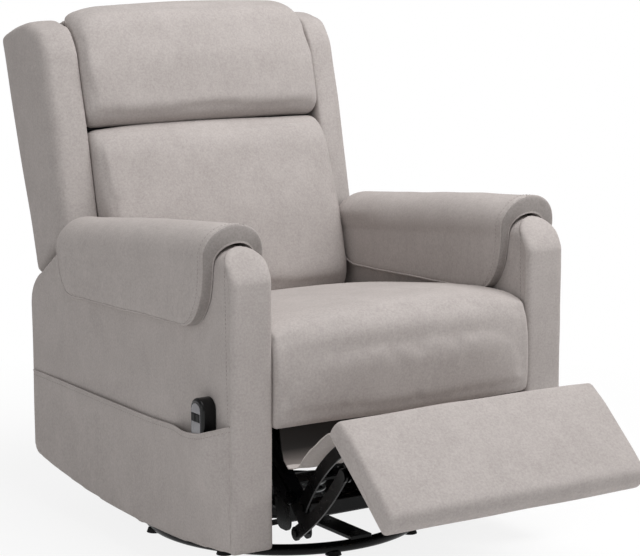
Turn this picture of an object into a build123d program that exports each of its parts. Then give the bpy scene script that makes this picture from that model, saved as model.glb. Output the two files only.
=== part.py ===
"""Powered swivel rocker recliner, upright with its footrest half out.

Millimetres. The origin is on the floor below the swivel axis, +Z is up, and the chair faces -Y.
Left and right are the sitter's, so the left arm is at +X and the side pocket is on the right arm.
"""
from build123d import *
from math import atan2, cos, degrees, hypot, radians, sin
import os

# Clearances
SEAT_GAP = 0.3          # between pieces that rest on each other
RUN_GAP = 0.05          # radial, of a pin in its bearing
LOOP_GAP = 3.8          # radial, of the pivots where the linkage is opened

# Base
RING_RADIUS = 273.0     # centre of the ring tube
RING_TUBE = 22.0
FOOT_HEIGHT = 3.5       # below the ring tube
FOOT_GRIP = 5.0         # up round the ring tube
FOOT_WIDTH = 32.0
FOOT_COUNT = 8
FOOT_TURN = 33.0        # degrees, of the first foot
SPIDER_ARM = 48.0       # width of a spoke
SPIDER_THICK = 6.0
HUB_RADIUS = 88.0
RACE_RADIUS = 72.0
RACE_WIDTH = 22.0
RACE_THICK = 5.0
SPINDLE_RADIUS = 15.0

# Turntable and rocker
TOP_PLATE_X = 372.0
TOP_PLATE_Y = 290.0
TOP_PLATE_THICK = 6.0
ROCKER_AXIS_Z = 126.0
ROCKER_SHAFT = 9.0      # radius
BRACKET_X = 140.0       # inner face of a rocker bracket
BRACKET_THICK = 5.0
SPRING_Y = 112.0
SPRING_RADIUS = 21.0    # to the middle of the wire
SPRING_WIRE = 6.0
SPRING_TURNS = 4

# Chassis
RAIL_X = 150.0          # inner face of a rocker rail
RAIL_WIDTH = 26.0
RAIL_LOW = 106.0
RAIL_HIGH = 146.0
TIE_SIZE = 30.0         # square tube of the cross ties
FRONT_TIE_Y = -344.0
REAR_TIE_Y = 190.0
SIDE_PLATE_X = 214.0
PLATE_THICK = 4.0
LAYER = 8.0             # from one link to the next, across the chair
FLANGE_Z = 314.0        # underside of the side plate's top flange

# Seat
SEAT_HALF = 277.0
SEAT_RAIL_IN = 250.0
SEAT_RAIL_OUT = 276.7
SEAT_RAIL_HIGH = 352.0
SEAT_RAIL_DEPTH = 22.0
SEAT_RAIL_FRONT = -398.0
SEAT_RAIL_REAR = 182.0
SEAT_TOP = 482.0        # at the sides, in front
SEAT_REAR_TOP = 420.0   # the seat falls to the rear
SEAT_CROWN = 30.0
SEAT_FRONT = -421.0
SEAT_LIP = 311.0        # underside of the rolled front
SEAT_BACK_END = 188.0
SPRING_BANDS = 4
BAND_WIRE = 4.0

# Arms
ARM_OUTER = 370.0
ARM_INNER = 288.0
ARM_FRONT = -415.0
ARM_REAR = 384.0
ARM_TOP = 648.0         # at the front
ARM_SLOPE = 6.2         # degrees, the top falls to the rear
ARM_ARCH = 0.44 * (ARM_OUTER - ARM_INNER)      # rise of the rounded top
ARM_LOW = 66.0          # lowest point of the curved underside
ARM_LOW_Y = -90.0
ARM_FRONT_LOW = 90.0
ARM_REAR_LOW = 104.0
ARM_REAR_HIGH = 428.0
ARM_PANEL = 11.0        # thickness of the front panel
PANEL_LAND = 2.8        # of that thickness, behind its rounded edge
ARM_BOARD = 18.0
SKIRT_TOP = 270.0
PAD_OVER = 18.0         # how far the saddle pad stands out from the arm
PAD_INNER = 12.0        # the same on the seat's side
PAD_TOP = 32.0
PAD_FRONT = -428.0
PAD_REAR = 246.0
PAD_HEM = 482.0
POCKET_THICK = 2.6
POCKET_HEM = 284.0
POCKET_FRONT_HEM = 326.0

# Back
BACK_PIVOT_Y = 215.0
BACK_PIVOT_Z = 345.0
BACK_LEAN = 18.0
STILE_IN = 252.0
STILE_OUT = 274.6
STILE_DEPTH = 44.0
STILE_LENGTH = 650.0
BACK_RAIL_TALL = 60.0
BACK_RAIL_LOW = 36.0    # up the back, of the bottom rail
BACK_RAIL_HALF = 11.0   # half its thickness
STRAP_LOW = 150.0       # up the back, of the lowest strap
STRAP_PITCH = 90.0
STRAP_WIDE = 55.0
STRAP_THICK = 2.0
STRAP_COUNT = 5
SPACER_LOW = 200.0      # up the back
SPACER_HIGH = 560.0
COVER_LOW = 26.0        # up the back, of the outside back
COVER_PAD = 14.0        # thickness of the outside back
WING_IN = 275.0
WING_OUT = 345.0
WING_LOW = 180.0        # up the back
WING_FRONT = 59.0
BACK_DEPTH = 127.0      # from the pivot plane to the outside back
HEAD_SEAM = 440.0       # up the back
HEAD_TOP = STILE_LENGTH + 42.0
WING_TOP = HEAD_TOP - 16.0
LUMBAR_LOW = 72.0
LUMBAR_FRONT = 70.0     # at the sides, before the pivot plane
HEAD_FRONT = 68.0
HINGE_PLATE_X = 277.0
HINGE_PLATE = 5.0

# Footrest and its linkage, in forward distance and height
FOOT_ANGLE = -41.0      # of the pad, as photographed
FOOT_CORNER = (588.0, 330.0)
FOOT_LENGTH = 214.0
FOOT_THICK = 50.0
FOOT_HALF = 280.0
LIFT_PIVOT = (291.4, 272.3)
KNEE_PIVOT = (430.3, 158.6)
STEADY_PIVOT = (432.6, 113.7)
CONTROL_PIVOT = (234.3, 292.0)
CONTROL_END = (392.0, 169.9)
PAD_PIVOT = (10.0, -16.0)       # along and off the pad's underside
STEADY_END = (46.0, -59.4)
LINK_WIDTH = 24.0
PIN_RADIUS = 5.0
PIN_HEAD = 2.0          # thickness of a pin's head
GOOSE_BOW = 15.0
DRIVE_TUBE = 12.5       # radius
BOARD_THICK = 12.0
BOARD_REAR = 120.0      # from the pad's far edge
BOARD_FRONT = 30.0

# Drive
ROD_DROP = 62.0         # push rod line below the drive tube
ROD_RADIUS = 9.0
ROD_AHEAD = 13.6        # of the rod's cross pin before the drive tube, as photographed
ROD_OUT = 56.3          # travel that opens the footrest
ROD_BACK = 83.6         # travel that closes it
DRIVE_TURN = 10.0       # degrees that the drive arm leans forward, as photographed
DRIVE_SLACK = 5.5       # of the cross pin in the drive arm's slot
DRIVE_PLATE = 8.0
FORK_LONG = 56.0        # of the push rod's fork behind its cross pin
GEARBOX_REAR = 152.0
GEARBOX_LONG = 62.0

# Gap cover between the seat front and the footrest, in forward distance and height
COVER_HALF = 258.0
COVER_THICK = 2.4
COVER_SAG = (424.0, 231.0)
COVER_STEP = (473.0, 266.0)
COVER_CREST = (553.0, 323.0)
COVER_END = (576.0, 325.0)

# Handset
HANDSET_Y = -338.0
HANDSET_WIDTH = 44.0
HANDSET_THICK = 28.0
HANDSET_LOW = 252.0
HANDSET_HIGH = 364.0
BUTTON_WIDE = 13.0
BUTTON_TALL = 15.0
BUTTON_PROUD = 2.5

PARTS = {}


def add(name, shape):
    """Keep one named piece."""
    PARTS[name] = shape


def both(name, shape):
    """Keep a left piece and its mirror image on the right."""
    add(name + "_left", shape)
    add(name + "_right", mirror(shape, about=Plane.YZ))


def pair(name, shape):
    """Keep a piece and its mirror image together under one name."""
    add(name, Compound(list(shape.solids()) + list(mirror(shape, about=Plane.YZ).solids())))


def side_slab(sketch, x_low, x_high):
    """Extrude a sketch of (Y, Z) points across the chair."""
    return extrude(Plane.YZ.offset(x_low) * sketch, x_high - x_low)


def box(x_low, x_high, y_low, y_high, z_low, z_high):
    """A block between two corners."""
    size = (x_high - x_low, y_high - y_low, z_high - z_low)
    return Pos((x_low + x_high) / 2, (y_low + y_high) / 2, (z_low + z_high) / 2) * Box(*size)


def rod_x(y, z, x_low, x_high, radius):
    """A round bar across the chair."""
    return Pos((x_low + x_high) / 2, y, z) * Rot(0, 90, 0) * Cylinder(radius, x_high - x_low)


def ahead(point):
    """Forward distance and height, as the (Y, Z) point of a side sketch."""
    return (-point[0], point[1])


def bar(start, end, width):
    """A round-ended flat bar between two (Y, Z) points, as a sketch."""
    length = hypot(end[0] - start[0], end[1] - start[1])
    angle = degrees(atan2(end[1] - start[1], end[0] - start[0]))
    middle = Pos((start[0] + end[0]) / 2, (start[1] + end[1]) / 2)
    return middle * Rot(0, 0, angle) * SlotCenterToCenter(length, width)


def disc(point, radius):
    """A round sketch at a (Y, Z) point."""
    return Pos(*point) * Circle(radius)


def closed(*edges):
    """A face inside a ring of edges."""
    return make_face(Curve() + list(edges))


# Base
ring_z = FOOT_HEIGHT + RING_TUBE / 2
spider_z = FOOT_HEIGHT + RING_TUBE + SEAT_GAP
spider_top = spider_z + SPIDER_THICK
add("base_ring", Pos(0, 0, ring_z) * Torus(RING_RADIUS, RING_TUBE / 2))
arm_reach = 2 * (RING_RADIUS + RING_TUBE / 4)
spider = Circle(HUB_RADIUS) + Rectangle(SPIDER_ARM, arm_reach) + Rectangle(arm_reach, SPIDER_ARM)
spider = fillet(spider.vertices().filter_by(lambda v: hypot(v.X, v.Y) < HUB_RADIUS + 5), 14)
add("base_spider", extrude(Pos(0, 0, spider_z) * spider, SPIDER_THICK))
foot_tall = FOOT_HEIGHT + FOOT_GRIP
foot = Pos(0, 0, foot_tall / 2) * Cone(FOOT_WIDTH / 2, FOOT_WIDTH / 2 - 3, foot_tall)
foot_bite = Pos(0, 0, ring_z) * Torus(RING_RADIUS, RING_TUBE / 2 + SEAT_GAP)
feet = PolarLocations(RING_RADIUS, FOOT_COUNT, start_angle=FOOT_TURN)
add("base_feet", Compound([place * foot - foot_bite for place in feet]))
race = Circle(RACE_RADIUS) - Circle(RACE_RADIUS - RACE_WIDTH)
add("swivel_race", extrude(Pos(0, 0, spider_top) * race, RACE_THICK))
race_top = spider_top + RACE_THICK
plate_low = race_top + SEAT_GAP
plate_top = plate_low + TOP_PLATE_THICK
add("swivel_spindle", Pos(0, 0, (spider_top + plate_top + 8) / 2)
    * Cylinder(SPINDLE_RADIUS, plate_top + 8 - spider_top))

# Turntable
top_plate = RectangleRounded(TOP_PLATE_X, TOP_PLATE_Y, 40) - Circle(SPINDLE_RADIUS + RUN_GAP)
for hole in GridLocations(TOP_PLATE_X - 150, TOP_PLATE_Y - 60, 2, 2):
    top_plate -= hole * SlotOverall(60, 26)
add("swivel_plate", extrude(Pos(0, 0, plate_low) * top_plate, TOP_PLATE_THICK))
collar = Circle(SPINDLE_RADIUS + 11) - Circle(SPINDLE_RADIUS + RUN_GAP)
add("swivel_collar", extrude(Pos(0, 0, plate_top) * collar, 6))
web = closed(
    Line((-62, plate_top), (62, plate_top)),
    Line((62, plate_top), (20, ROCKER_AXIS_Z + 6)),
    ThreePointArc((20, ROCKER_AXIS_Z + 6), (0, ROCKER_AXIS_Z + 21), (-20, ROCKER_AXIS_Z + 6)),
    Line((-20, ROCKER_AXIS_Z + 6), (-62, plate_top)),
)
web -= disc((0, ROCKER_AXIS_Z), ROCKER_SHAFT)
web -= Pos(0, plate_top + 30) * SlotOverall(44, 20)
bracket = side_slab(web, BRACKET_X, BRACKET_X + BRACKET_THICK)
bracket += box(BRACKET_X - 32, BRACKET_X, -62, 62, plate_top, plate_top + BRACKET_THICK)
pair("rocker_brackets", bracket)
shaft_end = RAIL_X + RAIL_WIDTH + 8
add("rocker_shaft", rod_x(0, ROCKER_AXIS_Z, -shaft_end, shaft_end, ROCKER_SHAFT))

# Coil springs that bring the chair level, between the swivel plate and the spring bars
bar_low = RAIL_LOW + 2
coil_low = plate_top + SPRING_WIRE / 2 + SEAT_GAP
coil_high = bar_low - SPRING_WIRE / 2 - SEAT_GAP
coil_pitch = (coil_high - coil_low) / SPRING_TURNS
helix = Helix(pitch=coil_pitch, height=coil_high - coil_low, radius=SPRING_RADIUS)
wire = Plane(origin=helix @ 0, z_dir=helix % 0) * Circle(SPRING_WIRE / 2)
coil = sweep(wire, path=helix)
add("rocker_springs", Compound([Pos(0, y, coil_low) * coil for y in (-SPRING_Y, SPRING_Y)]))

# Chassis
rail_front = FRONT_TIE_Y + TIE_SIZE / 2
rail_rear = REAR_TIE_Y - TIE_SIZE / 2
rail = box(RAIL_X, RAIL_X + RAIL_WIDTH, rail_front, rail_rear, RAIL_LOW, RAIL_HIGH)
rail -= box(RAIL_X + 4, RAIL_X + RAIL_WIDTH + 1, rail_front, -26, RAIL_LOW + 4, RAIL_HIGH - 4)
rail -= box(RAIL_X + 4, RAIL_X + RAIL_WIDTH + 1, 26, rail_rear, RAIL_LOW + 4, RAIL_HIGH - 4)
rail -= rod_x(0, ROCKER_AXIS_Z, RAIL_X, RAIL_X + RAIL_WIDTH, ROCKER_SHAFT + RUN_GAP)
both("rocker_rail", rail)
tie_tube = RectangleRounded(TIE_SIZE, TIE_SIZE, 4) - RectangleRounded(TIE_SIZE - 5, TIE_SIZE - 5, 2)
add("chassis_ties", Compound([
    side_slab(Pos(y, (RAIL_LOW + RAIL_HIGH) / 2) * tie_tube, -SIDE_PLATE_X, SIDE_PLATE_X)
    for y in (FRONT_TIE_Y, REAR_TIE_Y)]))
spring_bar = RectangleRounded(2 * RAIL_X, 56, 6)
add("spring_bars", Compound([
    extrude(Pos(0, y, bar_low) * spring_bar, 5) for y in (-SPRING_Y, SPRING_Y)]))

# Mechanism side plates, with legs down to the cross ties
leg = TIE_SIZE / 2 + 6
leg_low = RAIL_LOW - 12
plate_line = FilletPolyline(
    (FRONT_TIE_Y - leg, FLANGE_Z), (FRONT_TIE_Y - leg, leg_low), (FRONT_TIE_Y + leg, leg_low),
    (FRONT_TIE_Y + leg + 30, FLANGE_Z - 76), (REAR_TIE_Y - leg - 40, FLANGE_Z - 64),
    (REAR_TIE_Y - leg, leg_low), (REAR_TIE_Y + leg, leg_low), (REAR_TIE_Y + leg, FLANGE_Z),
    radius=16, close=True)
side_plate = make_face(plate_line)
side_plate += Rectangle(REAR_TIE_Y - FRONT_TIE_Y + 2 * leg, 20, align=(Align.MIN, Align.MAX)).moved(
    Location((FRONT_TIE_Y - leg, FLANGE_Z)))
lift = ahead(LIFT_PIVOT)
control = ahead(CONTROL_PIVOT)
side_plate -= disc(lift, DRIVE_TUBE + RUN_GAP)
for y in (-120, -30, 60):
    side_plate -= Pos(y, FLANGE_Z - 36) * SlotOverall(60, 24)
plate_out = SIDE_PLATE_X + PLATE_THICK
plate_solid = side_slab(side_plate, SIDE_PLATE_X, plate_out)
plate_solid += box(SIDE_PLATE_X, SEAT_RAIL_OUT - 3, FRONT_TIE_Y - leg, REAR_TIE_Y - 10,
                   FLANGE_Z, FLANGE_Z + PLATE_THICK)

# Seat frame
rail_z = FLANGE_Z + PLATE_THICK
pair("seat_side_rails", box(SEAT_RAIL_IN, SEAT_RAIL_OUT, SEAT_RAIL_FRONT + SEAT_RAIL_DEPTH,
                            SEAT_RAIL_REAR - SEAT_RAIL_DEPTH, rail_z, SEAT_RAIL_HIGH))
add("seat_front_rail", box(-SEAT_RAIL_OUT, SEAT_RAIL_OUT, SEAT_RAIL_FRONT,
                           SEAT_RAIL_FRONT + SEAT_RAIL_DEPTH, rail_z, SEAT_RAIL_HIGH))
add("seat_rear_rail", box(-SEAT_RAIL_OUT, SEAT_RAIL_OUT, SEAT_RAIL_REAR - SEAT_RAIL_DEPTH,
                          SEAT_RAIL_REAR, rail_z, SEAT_RAIL_HIGH))


def sinuous_band(length, pitch, reach):
    """A zigzag wire spring lying flat along Y, as a sketch centred on the origin."""
    count = int(length // pitch)
    start = -count * pitch / 2
    path = Curve()
    for step in range(count):
        side = 1 if step % 2 else -1
        y_one = start + step * pitch
        y_two = y_one + pitch
        path += Line((-side * reach, y_one), (side * reach, y_one))
        middle = (side * (reach + pitch / 2), (y_one + y_two) / 2)
        path += ThreePointArc((side * reach, y_one), middle, (side * reach, y_two))
    return trace(path, BAND_WIRE)


band_length = SEAT_RAIL_REAR - SEAT_RAIL_FRONT
band = sinuous_band(band_length - 30, 55, 16)
band_gap = 2 * SEAT_RAIL_IN / (SPRING_BANDS + 1)
band_y = (SEAT_RAIL_FRONT + SEAT_RAIL_REAR) / 2
bands = []
for place in GridLocations(band_gap, 1, SPRING_BANDS, 1):
    bands.append(extrude(Pos(0, band_y, SEAT_RAIL_HIGH) * place * band, BAND_WIRE))
add("seat_springs", Compound(bands))

# Seat cushion, as side profiles joined across the chair
cushion_low = SEAT_RAIL_HIGH + BAND_WIRE + SEAT_GAP


def seat_profile(inset, crown):
    """Side outline of the seat cushion, drawn in by inset and raised in the middle by crown."""
    front = SEAT_FRONT + inset - crown * 0.3
    lip_rear = SEAT_RAIL_FRONT - SEAT_GAP
    lip = SEAT_LIP + inset * 0.5
    top = SEAT_TOP - inset + crown
    rear = SEAT_BACK_END - inset
    rear_top = SEAT_REAR_TOP - inset + crown * 0.35
    middle = ((front + rear) / 2, (top + rear_top) / 2 + 13)
    return closed(
        Line((rear, cushion_low), (lip_rear, cushion_low)),
        Line((lip_rear, cushion_low), (lip_rear, lip)),
        ThreePointArc((lip_rear, lip), (front + 5, lip + 6), (front, lip + 26)),
        ThreePointArc((front, lip + 26), (front - 6, (lip + top) / 2), (front + 3, top - 40)),
        ThreePointArc((front + 3, top - 40), (front + 14, top - 13), (front + 48, top)),
        ThreePointArc((front + 48, top), middle, (rear - 34, rear_top)),
        ThreePointArc((rear - 34, rear_top), (rear - 9, rear_top - 10), (rear, rear_top - 34)),
        Line((rear, rear_top - 34), (rear, cushion_low)),
    )


def across(profile, half, inset, crown):
    """Join profiles across the chair: drawn-in ends, full sides and a crowned middle."""
    full = half * 0.83
    rise = crown * 0.4
    stations = ((-half, inset, 0), (-full, 0, rise), (0, 0, crown), (full, 0, rise), (half, inset, 0))
    return loft([Plane.YZ.offset(x) * profile(drawn, high) for x, drawn, high in stations])


add("seat_cushion", across(seat_profile, SEAT_HALF, 14, SEAT_CROWN))

# Arms
slope = (0, cos(radians(ARM_SLOPE)), -sin(radians(ARM_SLOPE)))


def arch_prism(x_low, x_high, top, rise, y_front, length):
    """A round-topped bar from y_front to the rear, falling with the arm's slope."""
    shift = (y_front - ARM_FRONT) * -sin(radians(ARM_SLOPE)) / cos(radians(ARM_SLOPE))
    high = top + shift
    middle = (x_low + x_high) / 2
    outline = closed(
        Line((x_low, 0), (x_high, 0)),
        Line((x_high, 0), (x_high, high - rise)),
        ThreePointArc((x_high, high - rise), (middle, high), (x_low, high - rise)),
        Line((x_low, high - rise), (x_low, 0)),
    )
    return extrude(Plane.XZ.offset(-y_front) * outline, length, dir=slope)


def arm_side():
    """Side outline of an arm, open above its rounded top."""
    corner = (ARM_REAR - 24, ARM_REAR_LOW)
    cut_low = (ARM_REAR - 49, ARM_REAR_HIGH + 62)
    cut_high = (cut_low[0] - 155, cut_low[1] + 103)
    return closed(
        ThreePointArc((ARM_FRONT, ARM_FRONT_LOW), (ARM_LOW_Y, ARM_LOW), corner),
        ThreePointArc(corner, (ARM_REAR - 7, ARM_REAR_LOW + 8), (ARM_REAR, ARM_REAR_LOW + 28)),
        Line((ARM_REAR, ARM_REAR_LOW + 28), (ARM_REAR, ARM_REAR_HIGH)),
        ThreePointArc((ARM_REAR, ARM_REAR_HIGH), (ARM_REAR - 15, ARM_REAR_HIGH + 35), cut_low),
        Line(cut_low, cut_high),
        Line(cut_high, (cut_high[0], ARM_TOP + 80)),
        Line((cut_high[0], ARM_TOP + 80), (ARM_FRONT, ARM_TOP + 80)),
        Line((ARM_FRONT, ARM_TOP + 80), (ARM_FRONT, ARM_FRONT_LOW)),
    )


arm_length = ARM_REAR - ARM_FRONT + 60
arm_bar = arch_prism(ARM_INNER, ARM_OUTER, ARM_TOP, ARM_ARCH, ARM_FRONT, arm_length)
arm = arm_bar & side_slab(arm_side(), ARM_INNER - 1, ARM_OUTER + 1)
panel_rear = ARM_FRONT + ARM_PANEL
front_panel = arm & box(ARM_INNER - 1, ARM_OUTER + 1, ARM_FRONT - 1, panel_rear, 0, ARM_TOP + 80)
front_edges = front_panel.edges().group_by(Axis.Y)[0].filter_by(lambda e: e.center().Z > ARM_FRONT_LOW + 1)
front_panel = fillet(front_edges, ARM_PANEL - PANEL_LAND)
both("arm_front", front_panel)
arm_body = arm & box(ARM_INNER - 1, ARM_OUTER + 1, panel_rear + SEAT_GAP, ARM_REAR + 1, 0, ARM_TOP + 80)
board_mid = (ARM_INNER + ARM_OUTER) / 2
board_line = FilletPolyline(
    (ARM_FRONT + 60, ARM_FRONT_LOW + 14), (ARM_REAR - 30, ARM_REAR_LOW + 20),
    (ARM_REAR - 30, ARM_REAR_HIGH - 10), (ARM_REAR - 170, ARM_REAR_HIGH + 90),
    (ARM_FRONT + 60, ARM_TOP - 64), radius=14, close=True)
board_face = make_face(board_line)
board_room = offset(board_face, SEAT_GAP)
board_low = board_mid - ARM_BOARD / 2
board_high = board_mid + ARM_BOARD / 2
slot = side_slab(board_room, board_low - SEAT_GAP, board_high + SEAT_GAP)
slot += box(board_low - SEAT_GAP, board_high + SEAT_GAP, ARM_FRONT + 90, ARM_REAR - 60,
            0, ARM_REAR_LOW + 40)
both("arm_cover", arm_body - slot)
for y in (-230, -20, 190):
    board_face -= Pos(y, 330) * SlotOverall(150, 120)
pair("arm_boards", side_slab(board_face, board_low, board_high))
tab_places = [(y, rail_z + 4) for y in (FRONT_TIE_Y + 60, 60)]
tabs = [box(SEAT_RAIL_OUT, ARM_INNER - SEAT_GAP, y - 30, y + 30, z, z + 26) for y, z in tab_places]
pair("arm_brackets", Compound(tabs))

# Skirt that closes the rear below the back
skirt_out = ARM_INNER - SEAT_GAP
skirt_y = ARM_REAR - 14
add("rear_skirt", box(-skirt_out, skirt_out, skirt_y, skirt_y + 8, ARM_REAR_LOW + 14, SKIRT_TOP))

# Saddle pads over the arm tops
pad_rise = ARM_ARCH + 12
pad_length = PAD_REAR - PAD_FRONT + 10
pad_bar = arch_prism(ARM_INNER - PAD_INNER, ARM_OUTER + PAD_OVER, ARM_TOP + PAD_TOP, pad_rise,
                     PAD_FRONT, pad_length)
pad_core = arch_prism(ARM_INNER - SEAT_GAP, ARM_OUTER + SEAT_GAP, ARM_TOP + SEAT_GAP, ARM_ARCH,
                      PAD_FRONT - 5, pad_length + 20)
pad_line = FilletPolyline(
    (PAD_REAR, ARM_TOP + 90), (PAD_REAR - 8, PAD_HEM + 104), (PAD_REAR - 34, PAD_HEM + 50),
    (PAD_REAR - 60, PAD_HEM - 9), (PAD_FRONT + 98, PAD_HEM + 8), (PAD_FRONT + 72, PAD_HEM + 66),
    (PAD_FRONT + 64, ARM_TOP - 42), (PAD_FRONT + 46, ARM_TOP - 4), (PAD_FRONT, ARM_TOP + 4),
    (PAD_FRONT, ARM_TOP + 90),
    radius=17, close=True)
pad_side = side_slab(make_face(pad_line), ARM_INNER - 40, ARM_OUTER + 40)
both("arm_pad", (pad_bar - pad_core) & pad_side)

# Side pocket on the outside of the right arm, with a bulge round the handset
pocket_in = ARM_OUTER + SEAT_GAP
handset_in = pocket_in + 0.2
handset_out = handset_in + HANDSET_THICK
pocket_line = closed(
    ThreePointArc((ARM_FRONT + 3, ARM_FRONT_LOW + 3), (ARM_LOW_Y, ARM_LOW + 3),
                  (ARM_REAR - 26, ARM_REAR_LOW + 3)),
    Line((ARM_REAR - 26, ARM_REAR_LOW + 3), (ARM_REAR - 26, POCKET_HEM)),
    Line((ARM_REAR - 26, POCKET_HEM), (ARM_FRONT + 280, POCKET_HEM)),
    ThreePointArc((ARM_FRONT + 280, POCKET_HEM), (ARM_FRONT + 130, POCKET_HEM + 11),
                  (ARM_FRONT + 3, POCKET_FRONT_HEM)),
    Line((ARM_FRONT + 3, POCKET_FRONT_HEM), (ARM_FRONT + 3, ARM_FRONT_LOW + 3)),
)
bulge_half = HANDSET_WIDTH / 2 + POCKET_THICK + SEAT_GAP
bulge_low = HANDSET_LOW - POCKET_THICK - SEAT_GAP
bulge_out = handset_out + SEAT_GAP + POCKET_THICK
bulge_high = POCKET_HEM + 14
bulge = box(pocket_in, bulge_out, HANDSET_Y - bulge_half, HANDSET_Y + bulge_half, bulge_low, bulge_high)
bulge = fillet(bulge.edges().group_by(Axis.X)[-1], 1.7 * POCKET_THICK)
hollow = box(pocket_in - 1, handset_out + SEAT_GAP, HANDSET_Y - HANDSET_WIDTH / 2 - SEAT_GAP,
             HANDSET_Y + HANDSET_WIDTH / 2 + SEAT_GAP, HANDSET_LOW - SEAT_GAP, HANDSET_HIGH + 40)
pocket = side_slab(pocket_line, pocket_in, pocket_in + POCKET_THICK) + bulge - hollow
add("side_pocket", mirror(pocket, about=Plane.YZ))

# Handset, standing in the pocket with its keys outwards
case = Pos((handset_in + handset_out) / 2, HANDSET_Y, (HANDSET_LOW + HANDSET_HIGH) / 2) * Box(
    HANDSET_THICK, HANDSET_WIDTH, HANDSET_HIGH - HANDSET_LOW)
case = fillet(case.edges().filter_by(Axis.X).group_by(Axis.Z)[-1], HANDSET_WIDTH / 2 - 0.5)
case = fillet(case.edges().filter_by(Axis.X).group_by(Axis.Z)[0], HANDSET_WIDTH / 4)
case = fillet(case.edges().group_by(Axis.X)[-1], HANDSET_WIDTH / 8)
keys = []
button_z = HANDSET_HIGH - 35
for y in (HANDSET_Y - BUTTON_WIDE / 2 - 1, HANDSET_Y + BUTTON_WIDE / 2 + 1):
    y_low = y - BUTTON_WIDE / 2
    z_low = button_z - BUTTON_TALL / 2
    case -= box(handset_out - 6, handset_out + 1, y_low - SEAT_GAP, y_low + BUTTON_WIDE + SEAT_GAP,
                z_low - SEAT_GAP, z_low + BUTTON_TALL + SEAT_GAP)
    key = box(handset_out - 2, handset_out + BUTTON_PROUD, y_low, y_low + BUTTON_WIDE,
              z_low, z_low + BUTTON_TALL)
    keys.append(fillet(key.edges().group_by(Axis.X)[-1], 1.5))
add("handset_case", mirror(case, about=Plane.YZ))
add("handset_button_open", mirror(keys[0], about=Plane.YZ))
add("handset_button_close", mirror(keys[1], about=Plane.YZ))

# Back, in distance up the leaning back and forward of its pivot plane
lean = radians(BACK_LEAN)


def on_back(up, forward):
    """The (Y, Z) point at a distance up the back and forward of the pivot plane."""
    return (BACK_PIVOT_Y + up * sin(lean) - forward * cos(lean),
            BACK_PIVOT_Z + up * cos(lean) + forward * sin(lean))


def back_strip(up_low, up_high, near, far):
    """A rectangle on the side view of the back."""
    corners = [on_back(up_low, near), on_back(up_high, near), on_back(up_high, far), on_back(up_low, far)]
    return make_face(Polyline(*corners, close=True))


half_stile = STILE_DEPTH / 2
back_pivot = (BACK_PIVOT_Y, BACK_PIVOT_Z)
stile = back_strip(0, STILE_LENGTH, -half_stile, half_stile) + disc(back_pivot, half_stile)
stile -= disc(back_pivot, PIN_RADIUS)
pair("back_stiles", side_slab(stile, STILE_IN, STILE_OUT))
for name, up in (("top", STILE_LENGTH - BACK_RAIL_TALL), ("bottom", BACK_RAIL_LOW)):
    rail_side = back_strip(up, up + BACK_RAIL_TALL, -BACK_RAIL_HALF, BACK_RAIL_HALF)
    add("back_rail_" + name, side_slab(rail_side, -STILE_IN, STILE_IN))
strap_front = half_stile + STRAP_THICK
straps = []
for index in range(STRAP_COUNT):
    up = STRAP_LOW + index * STRAP_PITCH
    straps.append(side_slab(back_strip(up, up + STRAP_WIDE, half_stile, strap_front), -STILE_OUT, STILE_OUT))
add("back_webbing", Compound(straps))
cover_high = HEAD_TOP - 18
cover_side = back_strip(COVER_LOW, cover_high, -BACK_DEPTH, -BACK_DEPTH + COVER_PAD)
cover_side += back_strip(cover_high - COVER_PAD, cover_high, -BACK_DEPTH, strap_front)
add("back_cover", side_slab(cover_side, -WING_IN + SEAT_GAP, WING_IN - SEAT_GAP))
spacer_side = back_strip(SPACER_LOW, SPACER_HIGH, -BACK_DEPTH + COVER_PAD, -half_stile)
pair("back_spacers", side_slab(spacer_side, STILE_IN, STILE_OUT))

# Wings at the sides of the back
wing_line = FilletPolyline(
    on_back(WING_LOW + 66, 32), on_back(HEAD_SEAM + 30, WING_FRONT - 8), on_back(WING_TOP - 70, WING_FRONT),
    on_back(WING_TOP - 24, 42), on_back(WING_TOP, -20),
    on_back(cover_high, -BACK_DEPTH), on_back(WING_LOW, -BACK_DEPTH), radius=24, close=True)
wing = side_slab(make_face(wing_line), WING_IN, WING_OUT)
wing = fillet(wing.edges().group_by(Axis.X)[-1], 16)
wing = fillet(wing.edges().group_by(Axis.X)[0], 7)
both("wing", wing)

# Back cushions
cushion_rear = strap_front + SEAT_GAP


def back_profile(low, high, side, bulge):
    """Outline maker for a back cushion between two heights, with its front this far forward."""
    def outline(inset, crown):
        base = low + inset * 0.6
        head = high - inset * 0.6
        front = side - inset + crown
        middle = (base + head) / 2
        return closed(
            Line(on_back(base + 12, cushion_rear), on_back(head - 12, cushion_rear)),
            ThreePointArc(on_back(head - 12, cushion_rear), on_back(head - 1, cushion_rear + 16),
                          on_back(head - 8, front - 22)),
            ThreePointArc(on_back(head - 8, front - 22), on_back(head - 22, front - 4),
                          on_back(head - 52, front + 4)),
            ThreePointArc(on_back(head - 52, front + 4), on_back(middle, front + bulge),
                          on_back(base + 52, front + 4)),
            ThreePointArc(on_back(base + 52, front + 4), on_back(base + 22, front - 4),
                          on_back(base + 8, front - 22)),
            ThreePointArc(on_back(base + 8, front - 22), on_back(base + 1, cushion_rear + 16),
                          on_back(base + 12, cushion_rear)),
        )
    return outline


cushion_half = WING_IN - 3
seam_gap = 2.0
for name, low, high, side, bulge, crown in (
        ("lumbar_cushion", LUMBAR_LOW, HEAD_SEAM, LUMBAR_FRONT, 12, 22),
        ("head_cushion", HEAD_SEAM + seam_gap, HEAD_TOP, HEAD_FRONT, 10, 20)):
    room = side_slab(back_strip(low, high, cushion_rear, BACK_DEPTH), -WING_IN, WING_IN)
    add(name, across(back_profile(low, high, side, bulge), cushion_half, 12, crown) & room)

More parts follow.
